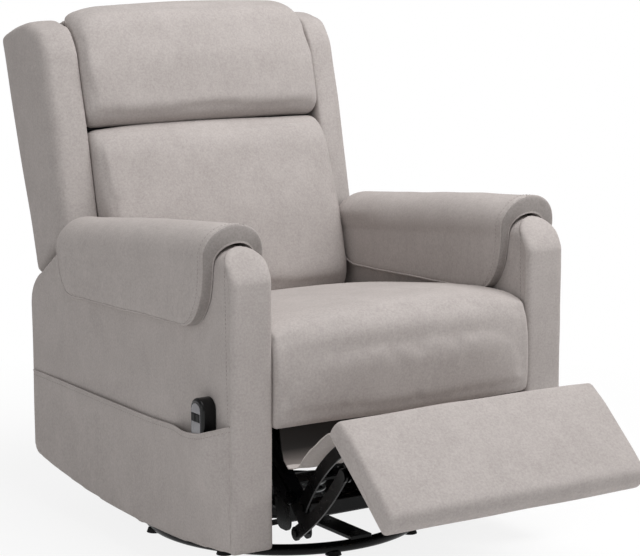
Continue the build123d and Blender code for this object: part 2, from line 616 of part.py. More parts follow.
# Recline hinges
hinge_line = FilletPolyline(
    (SEAT_RAIL_REAR - 70, rail_z + 2), (BACK_PIVOT_Y + 4, rail_z + 2), (BACK_PIVOT_Y + 24, BACK_PIVOT_Z),
    (BACK_PIVOT_Y + 4, BACK_PIVOT_Z + 24), (SEAT_RAIL_REAR - 70, SEAT_RAIL_HIGH + 6),
    radius=6, close=True)
hinge = make_face(hinge_line) - disc((BACK_PIVOT_Y, BACK_PIVOT_Z), PIN_RADIUS + RUN_GAP)
pair("hinge_plates", side_slab(hinge, HINGE_PLATE_X, HINGE_PLATE_X + HINGE_PLATE))
bolt = rod_x(BACK_PIVOT_Y, BACK_PIVOT_Z, STILE_IN, HINGE_PLATE_X + HINGE_PLATE + 0.5, PIN_RADIUS)
bolt += rod_x(BACK_PIVOT_Y, BACK_PIVOT_Z, HINGE_PLATE_X + HINGE_PLATE + 0.5,
              HINGE_PLATE_X + HINGE_PLATE + 3.5, PIN_RADIUS + 3)
pair("hinge_bolts", bolt)

# Footrest, placed by its rear lower edge and slope
foot_turn = radians(FOOT_ANGLE)


def on_foot(along, off):
    """The (Y, Z) point along the footrest pad's underside and off it."""
    return (-FOOT_CORNER[0] - along * cos(foot_turn) + off * sin(foot_turn),
            FOOT_CORNER[1] + along * sin(foot_turn) + off * cos(foot_turn))


def foot_profile(inset, crown):
    """Side outline of the footrest pad."""
    rear = inset
    front = FOOT_LENGTH - inset
    top = FOOT_THICK - inset * 0.6 + crown
    low = inset * 0.4
    return closed(
        Line(on_foot(front - 10, low), on_foot(rear + 10, low)),
        ThreePointArc(on_foot(rear + 10, low), on_foot(rear, low + 14), on_foot(rear + 8, top - 16)),
        ThreePointArc(on_foot(rear + 8, top - 16), on_foot(rear + 16, top - 6), on_foot(rear + 34, top)),
        ThreePointArc(on_foot(rear + 34, top), on_foot(FOOT_LENGTH / 2, top + 5), on_foot(front - 34, top)),
        ThreePointArc(on_foot(front - 34, top), on_foot(front - 16, top - 6), on_foot(front - 8, top - 16)),
        ThreePointArc(on_foot(front - 8, top - 16), on_foot(front, low + 14), on_foot(front - 10, low)),
    )




def foot_strip(along_low, along_high, off_low, off_high):
    """A rectangle on the side view of the footrest."""
    corners = [on_foot(along_low, off_low), on_foot(along_high, off_low),
               on_foot(along_high, off_high), on_foot(along_low, off_high)]
    return make_face(Polyline(*corners, close=True))


pad_room = side_slab(foot_strip(-FOOT_THICK, FOOT_LENGTH + FOOT_THICK, 0, 2 * FOOT_THICK),
                     -FOOT_HALF - 1, FOOT_HALF + 1)
add("footrest_pad", across(foot_profile, FOOT_HALF, 12, 8) & pad_room)

# Links from the drive tube out to the pad, in layers across the chair
lift_x = SIDE_PLATE_X + LAYER
knee_x = lift_x + LAYER
bracket_x = knee_x + LAYER
steady_x = bracket_x + LAYER
knee = ahead(KNEE_PIVOT)
steady = ahead(STEADY_PIVOT)
control_end = ahead(CONTROL_END)
pad_pivot = on_foot(*PAD_PIVOT)
steady_end = on_foot(*STEADY_END)
eye = LINK_WIDTH / 2 + 1


def stud(point, x_low, link_x, slack):
    """A riveted pivot stud from one link through the next, with a collar below it and a head over it."""
    link_out = link_x + PLATE_THICK
    pin = rod_x(point[0], point[1], x_low, link_out + SEAT_GAP + PIN_HEAD, PIN_RADIUS)
    head = rod_x(point[0], point[1], link_out + SEAT_GAP, link_out + SEAT_GAP + PIN_HEAD,
                 PIN_RADIUS + slack + 2)
    collar_radius = PIN_RADIUS + 2
    ring = rod_x(point[0], point[1], link_x - SEAT_GAP - 3, link_x - SEAT_GAP, collar_radius)
    return pin + head + ring


shelf_width = 26.0
bracket_front = FOOT_LENGTH - 40
bracket_low = STEADY_END[1]
bracket_plate = make_face(Polyline(
    on_foot(0, -SEAT_GAP), on_foot(bracket_front, -SEAT_GAP), on_foot(bracket_front, -16),
    on_foot(STEADY_END[0] + 34, -30), on_foot(STEADY_END[0] + 8, bracket_low),
    on_foot(STEADY_END[0] - 8, bracket_low), on_foot(0, -24), close=True))
bracket_plate += disc(steady_end, eye) + disc(pad_pivot, eye)
bracket_plate &= foot_strip(-2 * eye, FOOT_LENGTH, -SEAT_GAP, bracket_low - 2 * eye)
bracket_plate -= disc(pad_pivot, PIN_RADIUS + RUN_GAP)
foot_bracket = side_slab(bracket_plate, bracket_x, bracket_x + PLATE_THICK)
foot_bracket += side_slab(foot_strip(30, bracket_front, -SEAT_GAP - 3, -SEAT_GAP),
                          bracket_x - shelf_width, bracket_x)
foot_bracket += stud(steady_end, bracket_x, steady_x, LOOP_GAP)
pair("foot_brackets", foot_bracket)
board_half = bracket_x - shelf_width - SEAT_GAP
board_low = -SEAT_GAP - BOARD_THICK
board_side = foot_strip(FOOT_LENGTH - BOARD_REAR, FOOT_LENGTH - BOARD_FRONT, board_low, -SEAT_GAP)
add("foot_board", side_slab(board_side, -board_half, board_half))

lift_plate = make_hull((disc(lift, DRIVE_TUBE + 7) + disc(knee, eye) + disc(steady, eye)).edges())
lift_link = side_slab(lift_plate, lift_x, lift_x + PLATE_THICK)
lift_link += stud(knee, lift_x, knee_x, 0)
lift_link += stud(steady, lift_x, steady_x, 0)
pair("lift_links", lift_link)
add("drive_tube", rod_x(lift[0], lift[1], -lift_x, lift_x, DRIVE_TUBE))


def bowed(start, end, bow):
    """The middle point of an arc that bows upwards from a straight line."""
    length = hypot(end[0] - start[0], end[1] - start[1])
    across_y = (end[1] - start[1]) / length
    across_z = -(end[0] - start[0]) / length
    return ((start[0] + end[0]) / 2 + across_y * bow, (start[1] + end[1]) / 2 + across_z * bow)


goose = trace(ThreePointArc(knee, bowed(knee, pad_pivot, GOOSE_BOW), pad_pivot), LINK_WIDTH)
goose += disc(knee, eye) + disc(pad_pivot, eye) + bar(knee, control_end, LINK_WIDTH)
goose -= disc(knee, PIN_RADIUS + RUN_GAP)
ottoman_link = side_slab(goose, knee_x, knee_x + PLATE_THICK)
ottoman_link += stud(pad_pivot, knee_x, bracket_x, 0)
ottoman_link += stud(control_end, knee_x, bracket_x, LOOP_GAP)
pair("ottoman_links", ottoman_link)

steady_bar = trace(ThreePointArc(steady, bowed(steady, steady_end, -GOOSE_BOW * 0.6), steady_end),
                   LINK_WIDTH)
steady_bar += disc(steady, eye) + disc(steady_end, eye)
steady_bar -= disc(steady, PIN_RADIUS + RUN_GAP) + disc(steady_end, PIN_RADIUS + LOOP_GAP)
pair("steady_links", side_slab(steady_bar, steady_x, steady_x + PLATE_THICK))

control_bar = bar(control, control_end, LINK_WIDTH) + disc(control_end, eye)
control_bar -= disc(control, PIN_RADIUS + RUN_GAP) + disc(control_end, PIN_RADIUS + LOOP_GAP)
pair("control_links", side_slab(control_bar, bracket_x, bracket_x + PLATE_THICK))
both("side_plate", plate_solid + stud(control, SIDE_PLATE_X, bracket_x, 0))

# Powered drive: motor, guide tube, push rod and the slotted arm on the drive tube
rod_z = lift[1] - ROD_DROP
slot_far = hypot(ROD_DROP, ROD_OUT + ROD_AHEAD)
slot_width = 2 * (PIN_RADIUS + DRIVE_SLACK)
arm_width = slot_width + 20
arm_outline = bar((0, -DRIVE_TUBE), (0, -slot_far), arm_width) + Circle(DRIVE_TUBE + 9)
arm_outline -= Circle(DRIVE_TUBE) + bar((0, -ROD_DROP), (0, -slot_far), slot_width)
drive_arm = Pos(*lift) * Rot(0, 0, -DRIVE_TURN) * arm_outline
add("drive_arm", side_slab(drive_arm, -DRIVE_PLATE / 2, DRIVE_PLATE / 2))
pin_y = lift[0] - ROD_AHEAD
fork_in = DRIVE_PLATE / 2 + 2
fork_out = fork_in + 5
fork_rear = pin_y + FORK_LONG
tube_front = fork_rear + ROD_BACK + 5
rod_rear = tube_front + ROD_OUT + 60


def bar_y(y_low, y_high, radius):
    """A round bar along the push rod's line."""
    return Pos(0, (y_low + y_high) / 2, rod_z) * Rot(90, 0, 0) * Cylinder(radius, y_high - y_low)


rod = bar_y(fork_rear - 2, rod_rear, ROD_RADIUS)
rod += box(-fork_out, fork_out, fork_rear - 14, fork_rear, rod_z - 11, rod_z + 11)
for ear in (-fork_out, fork_in):
    rod += box(ear, ear + fork_out - fork_in, pin_y - 11, fork_rear - 10, rod_z - 11, rod_z + 11)
rod += rod_x(pin_y, rod_z, -fork_out - PIN_HEAD, fork_out + PIN_HEAD, PIN_RADIUS)
add("push_rod", rod)
gear_front = GEARBOX_REAR - GEARBOX_LONG
add("guide_tube", bar_y(tube_front, gear_front, ROD_RADIUS + 6)
    - bar_y(tube_front, gear_front, ROD_RADIUS + RUN_GAP))
gearbox = box(-34, 34, gear_front, GEARBOX_REAR, rod_z - 30, rod_z + 30)
gearbox = fillet(gearbox.edges().filter_by(Axis.Y), 12)
motor_y = (gear_front + GEARBOX_REAR) / 2
motor = Pos(0, motor_y, rod_z + 64) * Cylinder(26, 72)
motor += Pos(0, motor_y, rod_z + 103) * Cylinder(18, 6)
gearbox -= bar_y(gear_front - 1, gear_front + 40, ROD_RADIUS + 3)
add("drive_motor", gearbox + motor)
tie_top = (RAIL_LOW + RAIL_HIGH + TIE_SIZE) / 2
strap = box(-32, 32, GEARBOX_REAR, GEARBOX_REAR + PLATE_THICK, tie_top, rod_z + 24)
strap += box(-32, 32, GEARBOX_REAR, REAR_TIE_Y + TIE_SIZE / 2, tie_top, tie_top + PLATE_THICK)
add("motor_bracket", strap)

# Gap cover, a sheet that sags between the seat front and the footrest
cover_top = (SEAT_RAIL_FRONT + 6, rail_z - SEAT_GAP)
cover_sag = ahead(COVER_SAG)
cover_step = ahead(COVER_STEP)
cover_crest = ahead(COVER_CREST)
sag_line = Curve() + [
    ThreePointArc(cover_top, (cover_top[0] - 8, (cover_top[1] + cover_sag[1]) / 2 - 14), cover_sag),
    ThreePointArc(cover_sag, ((cover_sag[0] + cover_step[0]) / 2 - 9, cover_sag[1] + 13), cover_step),
    ThreePointArc(cover_step, ((cover_step[0] + cover_crest[0]) / 2, cover_step[1] + 32), cover_crest),
    Line(cover_crest, ahead(COVER_END)),
]
add("gap_cover", side_slab(trace(sag_line, COVER_THICK), -COVER_HALF, COVER_HALF))

os.makedirs("parts", exist_ok=True)
for name, shape in PARTS.items():
    export_step(shape, f"parts/{name}.step")
print(len(PARTS), "pieces")
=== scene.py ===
"""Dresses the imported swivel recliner: sewn microfibre upholstery, black steel mechanism, studio light."""
import math

import bmesh
import bpy
import numpy as np
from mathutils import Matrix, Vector, noise
from mathutils.bvhtree import BVHTree
from mathutils.kdtree import KDTree


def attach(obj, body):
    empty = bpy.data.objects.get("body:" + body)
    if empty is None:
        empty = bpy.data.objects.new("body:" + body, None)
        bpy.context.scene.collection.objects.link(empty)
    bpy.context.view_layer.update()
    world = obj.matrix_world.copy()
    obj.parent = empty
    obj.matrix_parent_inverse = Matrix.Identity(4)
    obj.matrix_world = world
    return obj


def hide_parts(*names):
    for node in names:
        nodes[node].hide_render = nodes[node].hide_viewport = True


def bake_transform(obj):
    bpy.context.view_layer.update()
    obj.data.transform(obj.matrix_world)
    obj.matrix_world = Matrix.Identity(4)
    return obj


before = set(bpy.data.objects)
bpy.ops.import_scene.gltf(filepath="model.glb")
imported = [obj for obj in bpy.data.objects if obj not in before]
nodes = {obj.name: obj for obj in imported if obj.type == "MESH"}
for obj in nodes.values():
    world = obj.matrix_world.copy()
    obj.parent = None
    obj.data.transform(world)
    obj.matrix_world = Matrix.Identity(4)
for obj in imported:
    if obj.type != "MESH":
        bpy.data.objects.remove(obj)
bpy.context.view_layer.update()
# Outlines of swept pads are in millimetres, other places in metres
MM = 0.001
SIDES = (("left", 1), ("right", -1))


# Camera at the photograph's place, for an image of 640 by 556
CAMERA_AT = Vector((-2.334, -3.681, 1.263))
CAMERA_TO = Vector((0.08826, 0.0, 0.48441))
SENSOR_WIDE = 36.0
FOCAL_PIXELS = 2222.7
IMAGE_PIXELS = 640.0
camera_data = bpy.data.cameras.new("camera")
camera_data.sensor_fit = "HORIZONTAL"
camera_data.sensor_width = SENSOR_WIDE
camera_data.lens = SENSOR_WIDE * FOCAL_PIXELS / IMAGE_PIXELS
camera = bpy.data.objects.new("camera", camera_data)
bpy.context.collection.objects.link(camera)
camera.location = CAMERA_AT
camera.rotation_euler = (CAMERA_TO - CAMERA_AT).to_track_quat("-Z", "Y").to_euler()
bpy.context.scene.camera = camera
bpy.context.scene.view_settings.view_transform = "Standard"


# Materials
def linear(hex_colour):
    """An sRGB hex colour as linear RGBA."""
    parts = [int(hex_colour[i:i + 2], 16) / 255 for i in (0, 2, 4)]
    return [p / 12.92 if p <= 0.04045 else ((p + 0.055) / 1.055) ** 2.4 for p in parts] + [1.0]


def add_node(material, kind, settings=(), inputs=()):
    """Add one node, set its properties and inputs; an input that is a socket is linked."""
    made = material.node_tree.nodes.new(kind)
    for name, value in dict(settings).items():
        setattr(made, name, value)
    for name, value in dict(inputs).items():
        if isinstance(value, bpy.types.NodeSocket):
            material.node_tree.links.new(value, made.inputs[name])
        else:
            made.inputs[name].default_value = value
    return made


def start_material(name):
    """A new node material, its shader and the Object coordinates."""
    material = bpy.data.materials.new(name)
    material.use_nodes = True
    shader = material.node_tree.nodes["Principled BSDF"]
    place = add_node(material, "ShaderNodeTexCoord").outputs["Object"]
    return material, shader, place


def link(material, source, shader, socket):
    """Feed one of a shader's sockets."""
    material.node_tree.links.new(source, shader.inputs[socket])


def ramp(material, source, low, high, start, end):
    """A two-colour ramp over part of a pattern's range."""
    made = add_node(material, "ShaderNodeValToRGB", inputs={"Fac": source})
    stops = made.color_ramp.elements
    stops[0].position, stops[0].color = start, linear(low)
    stops[1].position, stops[1].color = end, linear(high)
    return made.outputs["Color"]


def set_inputs(shader, inputs):
    """Give a shader fixed values by name."""
    for name, value in inputs.items():
        shader.inputs[name].default_value = value


def pattern(material, place, size_mm, **inputs):
    """A noise pattern of a real size."""
    made = add_node(material, "ShaderNodeTexNoise", inputs={
        "Vector": place, "Scale": 1 / (size_mm * MM), **inputs})
    return made.outputs["Fac"]


def stretched(material, place, scale):
    """Coordinates drawn out along an axis."""
    made = add_node(material, "ShaderNodeMapping", inputs={"Vector": place, "Scale": scale})
    return made.outputs["Vector"]


def blended(material, share, first, second):
    """A mix of two patterns."""
    made = add_node(material, "ShaderNodeMix", {"data_type": "FLOAT"}, {
        "Factor": share, "A": first, "B": second})
    return made.outputs["Result"]


def relief(material, shader, height, strength, depth_mm):
    """Let a pattern stand up as fine relief."""
    bump = add_node(material, "ShaderNodeBump", inputs={
        "Strength": strength, "Distance": depth_mm * MM, "Height": height})
    link(material, bump.outputs["Normal"], shader, "Normal")


def microfibre(name, low, high, nap_mm=70.0, stroke_mm=14, grain_mm=4.2):
    """Polyester microfibre with a brushed nap: cloudy where the pile was stroked, with a fine felted grain.

    The pile is finer than a pixel, so its grain is drawn a few millimetres wide to show.
    """
    material, shader, place = start_material(name)
    cloud = pattern(material, place, nap_mm, Detail=3.0, Roughness=0.55, Distortion=0.6)
    upward = stretched(material, place, (1.0, 1.0, 0.28))
    stroke = pattern(material, upward, stroke_mm, Detail=4.0, Roughness=0.6)
    grain = pattern(material, place, grain_mm, Detail=2.0, Roughness=0.7)
    mixed = blended(material, 0.38, cloud, stroke)
    fine = blended(material, 0.58, mixed, grain)
    link(material, ramp(material, fine, low, high, 0.34, 0.66), shader, "Base Color")
    relief(material, shader, grain, 0.24, 0.9)
    set_inputs(shader, {"Roughness": 0.92, "Specular IOR Level": 0.18, "Sheen Weight": 0.22,
                        "Sheen Roughness": 0.55, "Sheen Tint": linear("d8cfca")})
    return material


def lining_with_painted_shade(name):
    """Dark lining cloth with painted shade, for the gap cover's rear and the back's stiles: darker with
    height, darkest up under the seat where its shade falls, paling down to the cover's fold.
    """
    material, shader, place = start_material(name)
    height = add_node(material, "ShaderNodeSeparateXYZ", inputs={"Vector": place}).outputs["Z"]
    weave = pattern(material, place, 3, Detail=2.0)
    # Painted shade: a ramp over height, dark above 0.264 m under the seat, paling to the cover's fold below
    # 0.228 m
    share = add_node(material, "ShaderNodeMapRange", inputs={
        "Value": height, "From Min": 0.228, "From Max": 0.264})
    shade = blended(material, 0.08, share.outputs["Result"], weave)
    link(material, ramp(material, shade, "8c8480", "2b2827", 0.02, 0.92), shader, "Base Color")
    set_inputs(shader, {"Roughness": 0.9})
    return material


def powder_coat(name, low, high, roughness):
    """Black polyester powder coat baked on steel: satin, with a fine orange peel."""
    material, shader, place = start_material(name)
    peel = pattern(material, place, 2.2, Detail=2.0)
    dust = pattern(material, place, 60, Detail=5.0, Roughness=0.65)
    link(material, ramp(material, dust, low, high, 0.35, 0.75), shader, "Base Color")
    rough = add_node(material, "ShaderNodeMapRange", inputs={
        "Value": dust, "From Min": 0.3, "From Max": 0.7,
        "To Min": roughness - 0.06, "To Max": roughness + 0.1})
    link(material, rough.outputs["Result"], shader, "Roughness")
    set_inputs(shader, {"Specular IOR Level": 0.16})
    relief(material, shader, peel, 0.12, 0.15)
    return material


def zinc_steel(name):
    """Zinc plated steel: bright grey with drawn streaks along its length."""
    material, shader, place = start_material(name)
    streak = pattern(material, stretched(material, place, (0.1, 1.0, 1.0)), 1.8, Detail=3.0)
    link(material, ramp(material, streak, "8f9294", "b4b6b6", 0.3, 0.7), shader, "Base Color")
    rough = add_node(material, "ShaderNodeMapRange", inputs={
        "Value": streak, "To Min": 0.28, "To Max": 0.46})
    link(material, rough.outputs["Result"], shader, "Roughness")
    set_inputs(shader, {"Metallic": 1.0})
    return material


def plywood(name):
    """Poplar plywood, unfinished: pale with soft brown grain along the board."""
    material, shader, place = start_material(name)
    grain = pattern(material, stretched(material, place, (1.0, 0.08, 1.0)), 7, Detail=6.0, Distortion=0.5)
    link(material, ramp(material, grain, "9a7650", "c8a679", 0.35, 0.68), shader, "Base Color")
    relief(material, shader, grain, 0.2, 0.2)
    set_inputs(shader, {"Roughness": 0.75})
    return material


def moulded(name, low, high, roughness, grit_mm):
    """Moulded ABS, rubber or spun thread: even colour with a fine grit."""
    material, shader, place = start_material(name)
    grit = pattern(material, place, grit_mm, Detail=2.0)
    link(material, ramp(material, grit, low, high, 0.35, 0.7), shader, "Base Color")
    relief(material, shader, grit, 0.15, 0.1)
    set_inputs(shader, {"Roughness": roughness, "Specular IOR Level": 0.3})
    return material


def elastic_webbing(name):
    """Woven elastic webbing: dark yarns across the strap."""
    material, shader, place = start_material(name)
    weave = add_node(material, "ShaderNodeTexWave", {"bands_direction": "Z"}, {
        "Vector": place, "Scale": 1 / (20 * MM), "Distortion": 0.4, "Detail": 1.0})
    link(material, ramp(material, weave.outputs["Fac"], "26262a", "4a4a4e", 0.2, 0.8), shader, "Base Color")
    set_inputs(shader, {"Roughness": 0.85})
    return material


cover_cloth = microfibre("microfibre_cover", "9f9895", "b4adaa")
# Painted shade: a darker copy of the cover for the saddles' front bands, which face down into the shade
# beside the arm's front
band_painted_shade_cloth = microfibre("microfibre_band_painted_shade", "86807d", "9a9491")
lining_cloth = microfibre("microfibre_reverse", "aea7a3", "c0b9b6", nap_mm=120.0)
thread_yarn = moulded("polyester_thread", "7f7874", "918a86", 0.85, 1.2)
painted_shade_lining = lining_with_painted_shade("lining_cloth")
ring_coat = powder_coat("powder_coat_base", "050506", "0b0b0c", 0.26)
link_coat = powder_coat("powder_coat_links", "030304", "070708", 0.24)
bright_zinc = zinc_steel("zinc_plate")
raw_ply = plywood("poplar_plywood")
foot_rubber = moulded("moulded_rubber", "0b0b0c", "161617", 0.75, 1.5)
case_plastic = moulded("gloss_black_abs", "09090a", "111112", 0.24, 1.0)
face_plastic = moulded("grey_abs", "807f82", "908f92", 0.4, 1.0)
key_plastic = moulded("dark_key_abs", "09090a", "101011", 0.6, 0.8)
motor_plastic = moulded("motor_housing_abs", "141415", "202022", 0.55, 1.6)
strap_web = elastic_webbing("elastic_webbing")


def dress(material, *names):
    """Give CAD nodes a finish."""
    for name in names:
        slots = nodes[name].data.materials
        slots.clear()
        slots.append(material)


dress(ring_coat, "base_ring", "base_spider")
dress(link_coat, "swivel_plate", "rocker_brackets", "rocker_rail_left", "rocker_rail_right", "chassis_ties",
      "spring_bars", "side_plate_left", "side_plate_right", "arm_brackets", "hinge_plates", "lift_links",
      "ottoman_links", "steady_links", "control_links", "foot_brackets", "drive_arm", "drive_tube",
      "motor_bracket", "guide_tube")
dress(bright_zinc, "swivel_race", "swivel_spindle", "swivel_collar", "rocker_shaft", "rocker_springs",
      "seat_springs", "hinge_bolts", "push_rod")
dress(raw_ply, "seat_side_rails", "seat_front_rail", "seat_rear_rail", "arm_boards", "back_rail_top",
      "back_rail_bottom", "foot_board")
# The stiles show between wing and arm, where such frames are wrapped in black lining; they stand above the
# lining's painted shade ramp and take its dark end.
dress(painted_shade_lining, "back_stiles", "back_spacers")
dress(foot_rubber, "base_feet")
dress(strap_web, "back_webbing")
dress(case_plastic, "handset_case")
dress(motor_plastic, "drive_motor")
dress(key_plastic, "handset_button_open", "handset_button_close")


# Soft pieces
def new_piece(name, mesh, material):
    """An object of a mesh, linked to the scene, with one finish."""
    piece = bpy.data.objects.new(name, mesh)
    bpy.context.collection.objects.link(piece)
    mesh.materials.clear()
    mesh.materials.append(material)
    return piece


def piece_of(name, shape, material):
    """An object of a finished shape, its faces turned outward."""
    bmesh.ops.recalc_face_normals(shape, faces=shape.faces)
    mesh = bpy.data.meshes.new(name)
    shape.to_mesh(mesh)
    shape.free()
    return new_piece(name, mesh, material)


def weave_faces(shape, grid):
    """Faces between neighbouring rows of points."""
    for first, second in zip(grid, grid[1:]):
        for index in range(len(first) - 1):
            shape.faces.new((first[index], first[index + 1], second[index + 1], second[index]))


def only(piece):
    """Select one piece alone."""
    bpy.ops.object.select_all(action="DESELECT")
    piece.select_set(True)
    bpy.context.view_layer.objects.active = piece


def apply_modifier(piece, kind, **settings):
    """Add a modifier with its settings and apply it."""
    only(piece)
    modifier = piece.modifiers.new(kind.lower(), kind)
    for name, value in settings.items():
        setattr(modifier, name, value)
    bpy.ops.object.modifier_apply(modifier=modifier.name)


def shade_by_angle(piece, degrees):
    """Smooth a piece and keep its edges sharper than an angle."""
    only(piece)
    bpy.ops.object.shade_smooth_by_angle(angle=math.radians(degrees))


def points_of(piece):
    """Vertex places as an array."""
    places = np.empty(len(piece.data.vertices) * 3)
    piece.data.vertices.foreach_get("co", places)
    return places.reshape(-1, 3)


def normals_of(piece):
    """Vertex normals as an array."""
    directions = np.empty(len(piece.data.vertices) * 3)
    piece.data.vertices.foreach_get("normal", directions)
    return directions.reshape(-1, 3)


def put_points(piece, places):
    """Write vertex places back."""
    piece.data.vertices.foreach_set("co", np.ascontiguousarray(places, dtype=np.float64).ravel())
    piece.data.update()


def sewn_copy(name, sources, voxel_mm, smooth):
    """The closed skin round some CAD solids, evenly meshed and rounded as filling rounds it."""
    mesh = bpy.data.meshes.new(name)
    shape = bmesh.new()
    for source in sources:
        shape.from_mesh(nodes[source].data)
    bmesh.ops.remove_doubles(shape, verts=shape.verts, dist=0.01 * MM)
    shape.to_mesh(mesh)
    shape.free()
    piece = new_piece(name, mesh, cover_cloth)
    apply_modifier(piece, "REMESH", mode="VOXEL", voxel_size=voxel_mm * MM)
    apply_modifier(piece, "SMOOTH", factor=0.5, iterations=smooth)
    return piece


def inflate(piece, cap_mm, pressure=4.0, stiff=12.0, frames=20):
    """Fill a closed skin by cloth pressure, with no point moving further than the cap."""
    start = points_of(piece)
    scene = bpy.context.scene
    cloth = piece.modifiers.new("filling", "CLOTH")
    cloth.settings.quality = 4
    cloth.settings.mass = 0.3
    cloth.settings.tension_stiffness = stiff
    cloth.settings.compression_stiffness = stiff
    cloth.settings.shear_stiffness = stiff * 0.5
    cloth.settings.bending_stiffness = 0.6
    cloth.settings.use_pressure = True
    cloth.settings.uniform_pressure_force = pressure
    cloth.settings.effector_weights.gravity = 0.0
    for step in range(1, frames + 1):
        scene.frame_set(step)
    view = bpy.context.evaluated_depsgraph_get()
    swollen = piece.evaluated_get(view).to_mesh()
    ends = np.empty(len(swollen.vertices) * 3)
    swollen.vertices.foreach_get("co", ends)
    moved = ends.reshape(-1, 3) - start
    piece.evaluated_get(view).to_mesh_clear()
    piece.modifiers.remove(cloth)
    scene.frame_set(1)
    outward = normals_of(piece)
    cap = cap_mm * MM
    swell = cap * np.tanh(np.clip(np.sum(moved * outward, axis=1), 0, None) / cap)
    put_points(piece, start + outward * swell[:, None])


def keep_within(piece, low, high, soft_mm=3.0):
    """Hold a soft piece back from its neighbours: past a limit it flattens against them."""
    places = points_of(piece)
    give = soft_mm * MM
    for axis in range(3):
        if low[axis] is not None:
            under = low[axis] + give - places[:, axis]
            places[:, axis] += np.where(under > 0, under - give * np.tanh(under / give), 0)
        if high[axis] is not None:
            over = places[:, axis] - high[axis] + give
            places[:, axis] -= np.where(over > 0, over - give * np.tanh(over / give), 0)
    put_points(piece, places)


def run_lengths(path):
    """Distance along a path at each of its points."""
    return np.concatenate([[0], np.cumsum(np.linalg.norm(np.diff(path, axis=0), axis=1))])


def edge_at(edge, place):
    """Where an edge lies at a place, from its pairs of place and value."""
    places, values = zip(*edge)
    return float(np.interp(place, places, values))


def resample(path, step_mm):
    """A path's points at an even spacing."""
    path = np.asarray(path, float)
    lengths = run_lengths(path)
    count = max(2, int(round(lengths[-1] / (step_mm * MM))) + 1)
    at = np.linspace(0, lengths[-1], count)
    return np.stack([np.interp(at, lengths, path[:, axis]) for axis in range(3)], axis=1)


def rounded(path, passes=3):
    """A path with its corners cut to a smooth line."""
    path = np.asarray(path, float)
    for _ in range(passes):
        near = path[:-1] * 0.75 + path[1:] * 0.25
        far = path[:-1] * 0.25 + path[1:] * 0.75
        path = np.concatenate([path[:1], np.stack([near, far], 1).reshape(-1, 3), path[-1:]])
    return path


def press_line(piece, path, depth_mm, width_mm, pucker_mm=0.0, pucker_pitch_mm=14.0):
    """Draw the skin in along a seam, with small puckers beside it."""
    step_mm = 3
    line = resample(path, step_mm)
    tree = KDTree(len(line))
    for index, point in enumerate(line):
        tree.insert(Vector(point), index)
    tree.balance()
    places = points_of(piece)
    inward = normals_of(piece)
    for vertex in range(len(places)):
        _, index, distance = tree.find(Vector(places[vertex]))
        if distance < width_mm * MM * 3:
            fall = math.exp(-(distance / (width_mm * MM)) ** 2)
            stray = 5 * noise.noise(places[vertex] * 30)
            wave = math.sin(index * step_mm / pucker_pitch_mm * 2 * math.pi + stray)
            wide = math.exp(-(distance / (width_mm * MM * 2)) ** 2)
            move = depth_mm * fall + pucker_mm * wave * (wide - 0.6 * fall)
            places[vertex] -= inward[vertex] * move * MM
    put_points(piece, places)


def crumple(piece, size_mm, depth_mm, seed=0.0):
    """Give a filled skin the slow unevenness of real padding."""
    places = points_of(piece)
    outward = normals_of(piece)
    shift = Vector((seed, seed * 0.7, -seed))
    for vertex in range(len(places)):
        swell = noise.noise(Vector(places[vertex]) / (size_mm * MM) + shift)
        places[vertex] += outward[vertex] * swell * depth_mm * MM
    put_points(piece, places)


def on_skin(piece, path, lift_mm=0.0, step_mm=3.0):
    """A path laid on a skin: its points and the skin's normals there."""
    tree = BVHTree.FromObject(piece, bpy.context.evaluated_depsgraph_get())
    laid, outs = [], []
    for point in resample(path, step_mm):
        spot, normal, _, _ = tree.find_nearest(Vector(point))
        laid.append(spot + normal * lift_mm * MM)
        outs.append(normal)
    return laid, outs


def stitch_row(name, piece, path, body, stitch_mm=5.0, gap_mm=2.6, radius_mm=0.55):
    """A row of thread stitches lying on a skin."""
    laid, outs = on_skin(piece, path, radius_mm * 0.4, (stitch_mm + gap_mm) / 2)
    shape = bmesh.new()
    for index in range(0, len(laid) - 1, 2):
        along = laid[index + 1] - laid[index]
        if along.length < 1e-6:
            continue
        reach = along.normalized() * stitch_mm * MM / 2
        middle = (laid[index] + laid[index + 1]) / 2
        out = outs[index]
        side = along.normalized().cross(out).normalized() * radius_mm * MM
        high = out * radius_mm * MM
        ring = [side, high, -side, -high * 0.8]
        first = [shape.verts.new(middle - reach * 0.7 + offset) for offset in ring]
        last = [shape.verts.new(middle + reach * 0.7 + offset) for offset in ring]
        tail = shape.verts.new(middle - reach - high * 0.6)
        tip = shape.verts.new(middle + reach - high * 0.6)
        for corner in range(4):
            after = (corner + 1) % 4
            shape.faces.new((first[corner], first[after], last[after], last[corner]))
            shape.faces.new((first[after], first[corner], tail))
            shape.faces.new((last[corner], last[after], tip))
    row = piece_of(name, shape, thread_yarn)
    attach(row, body)


def tube_on(name, piece, path, body, radius_mm, lift_mm=0.0):
    """A thin sewn edge that follows a path on a skin."""
    laid, _ = on_skin(piece, path, lift_mm, 5.0)
    curve = bpy.data.curves.new(name, "CURVE")
    curve.dimensions = "3D"
    curve.bevel_depth = radius_mm * MM
    curve.bevel_resolution = 3
    curve.use_fill_caps = True
    spline = curve.splines.new("POLY")
    spline.points.add(len(laid) - 1)
    for point, spot in zip(spline.points, laid):
        point.co = (*spot, 1.0)
    holder = bpy.data.objects.new(name, curve)
    bpy.context.collection.objects.link(holder)
    mesh = bpy.data.meshes.new_from_object(holder)
    bpy.data.objects.remove(holder)
    edge = new_piece(name, mesh, cover_cloth)
    only(edge)
    bpy.ops.object.shade_smooth()
    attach(edge, body)


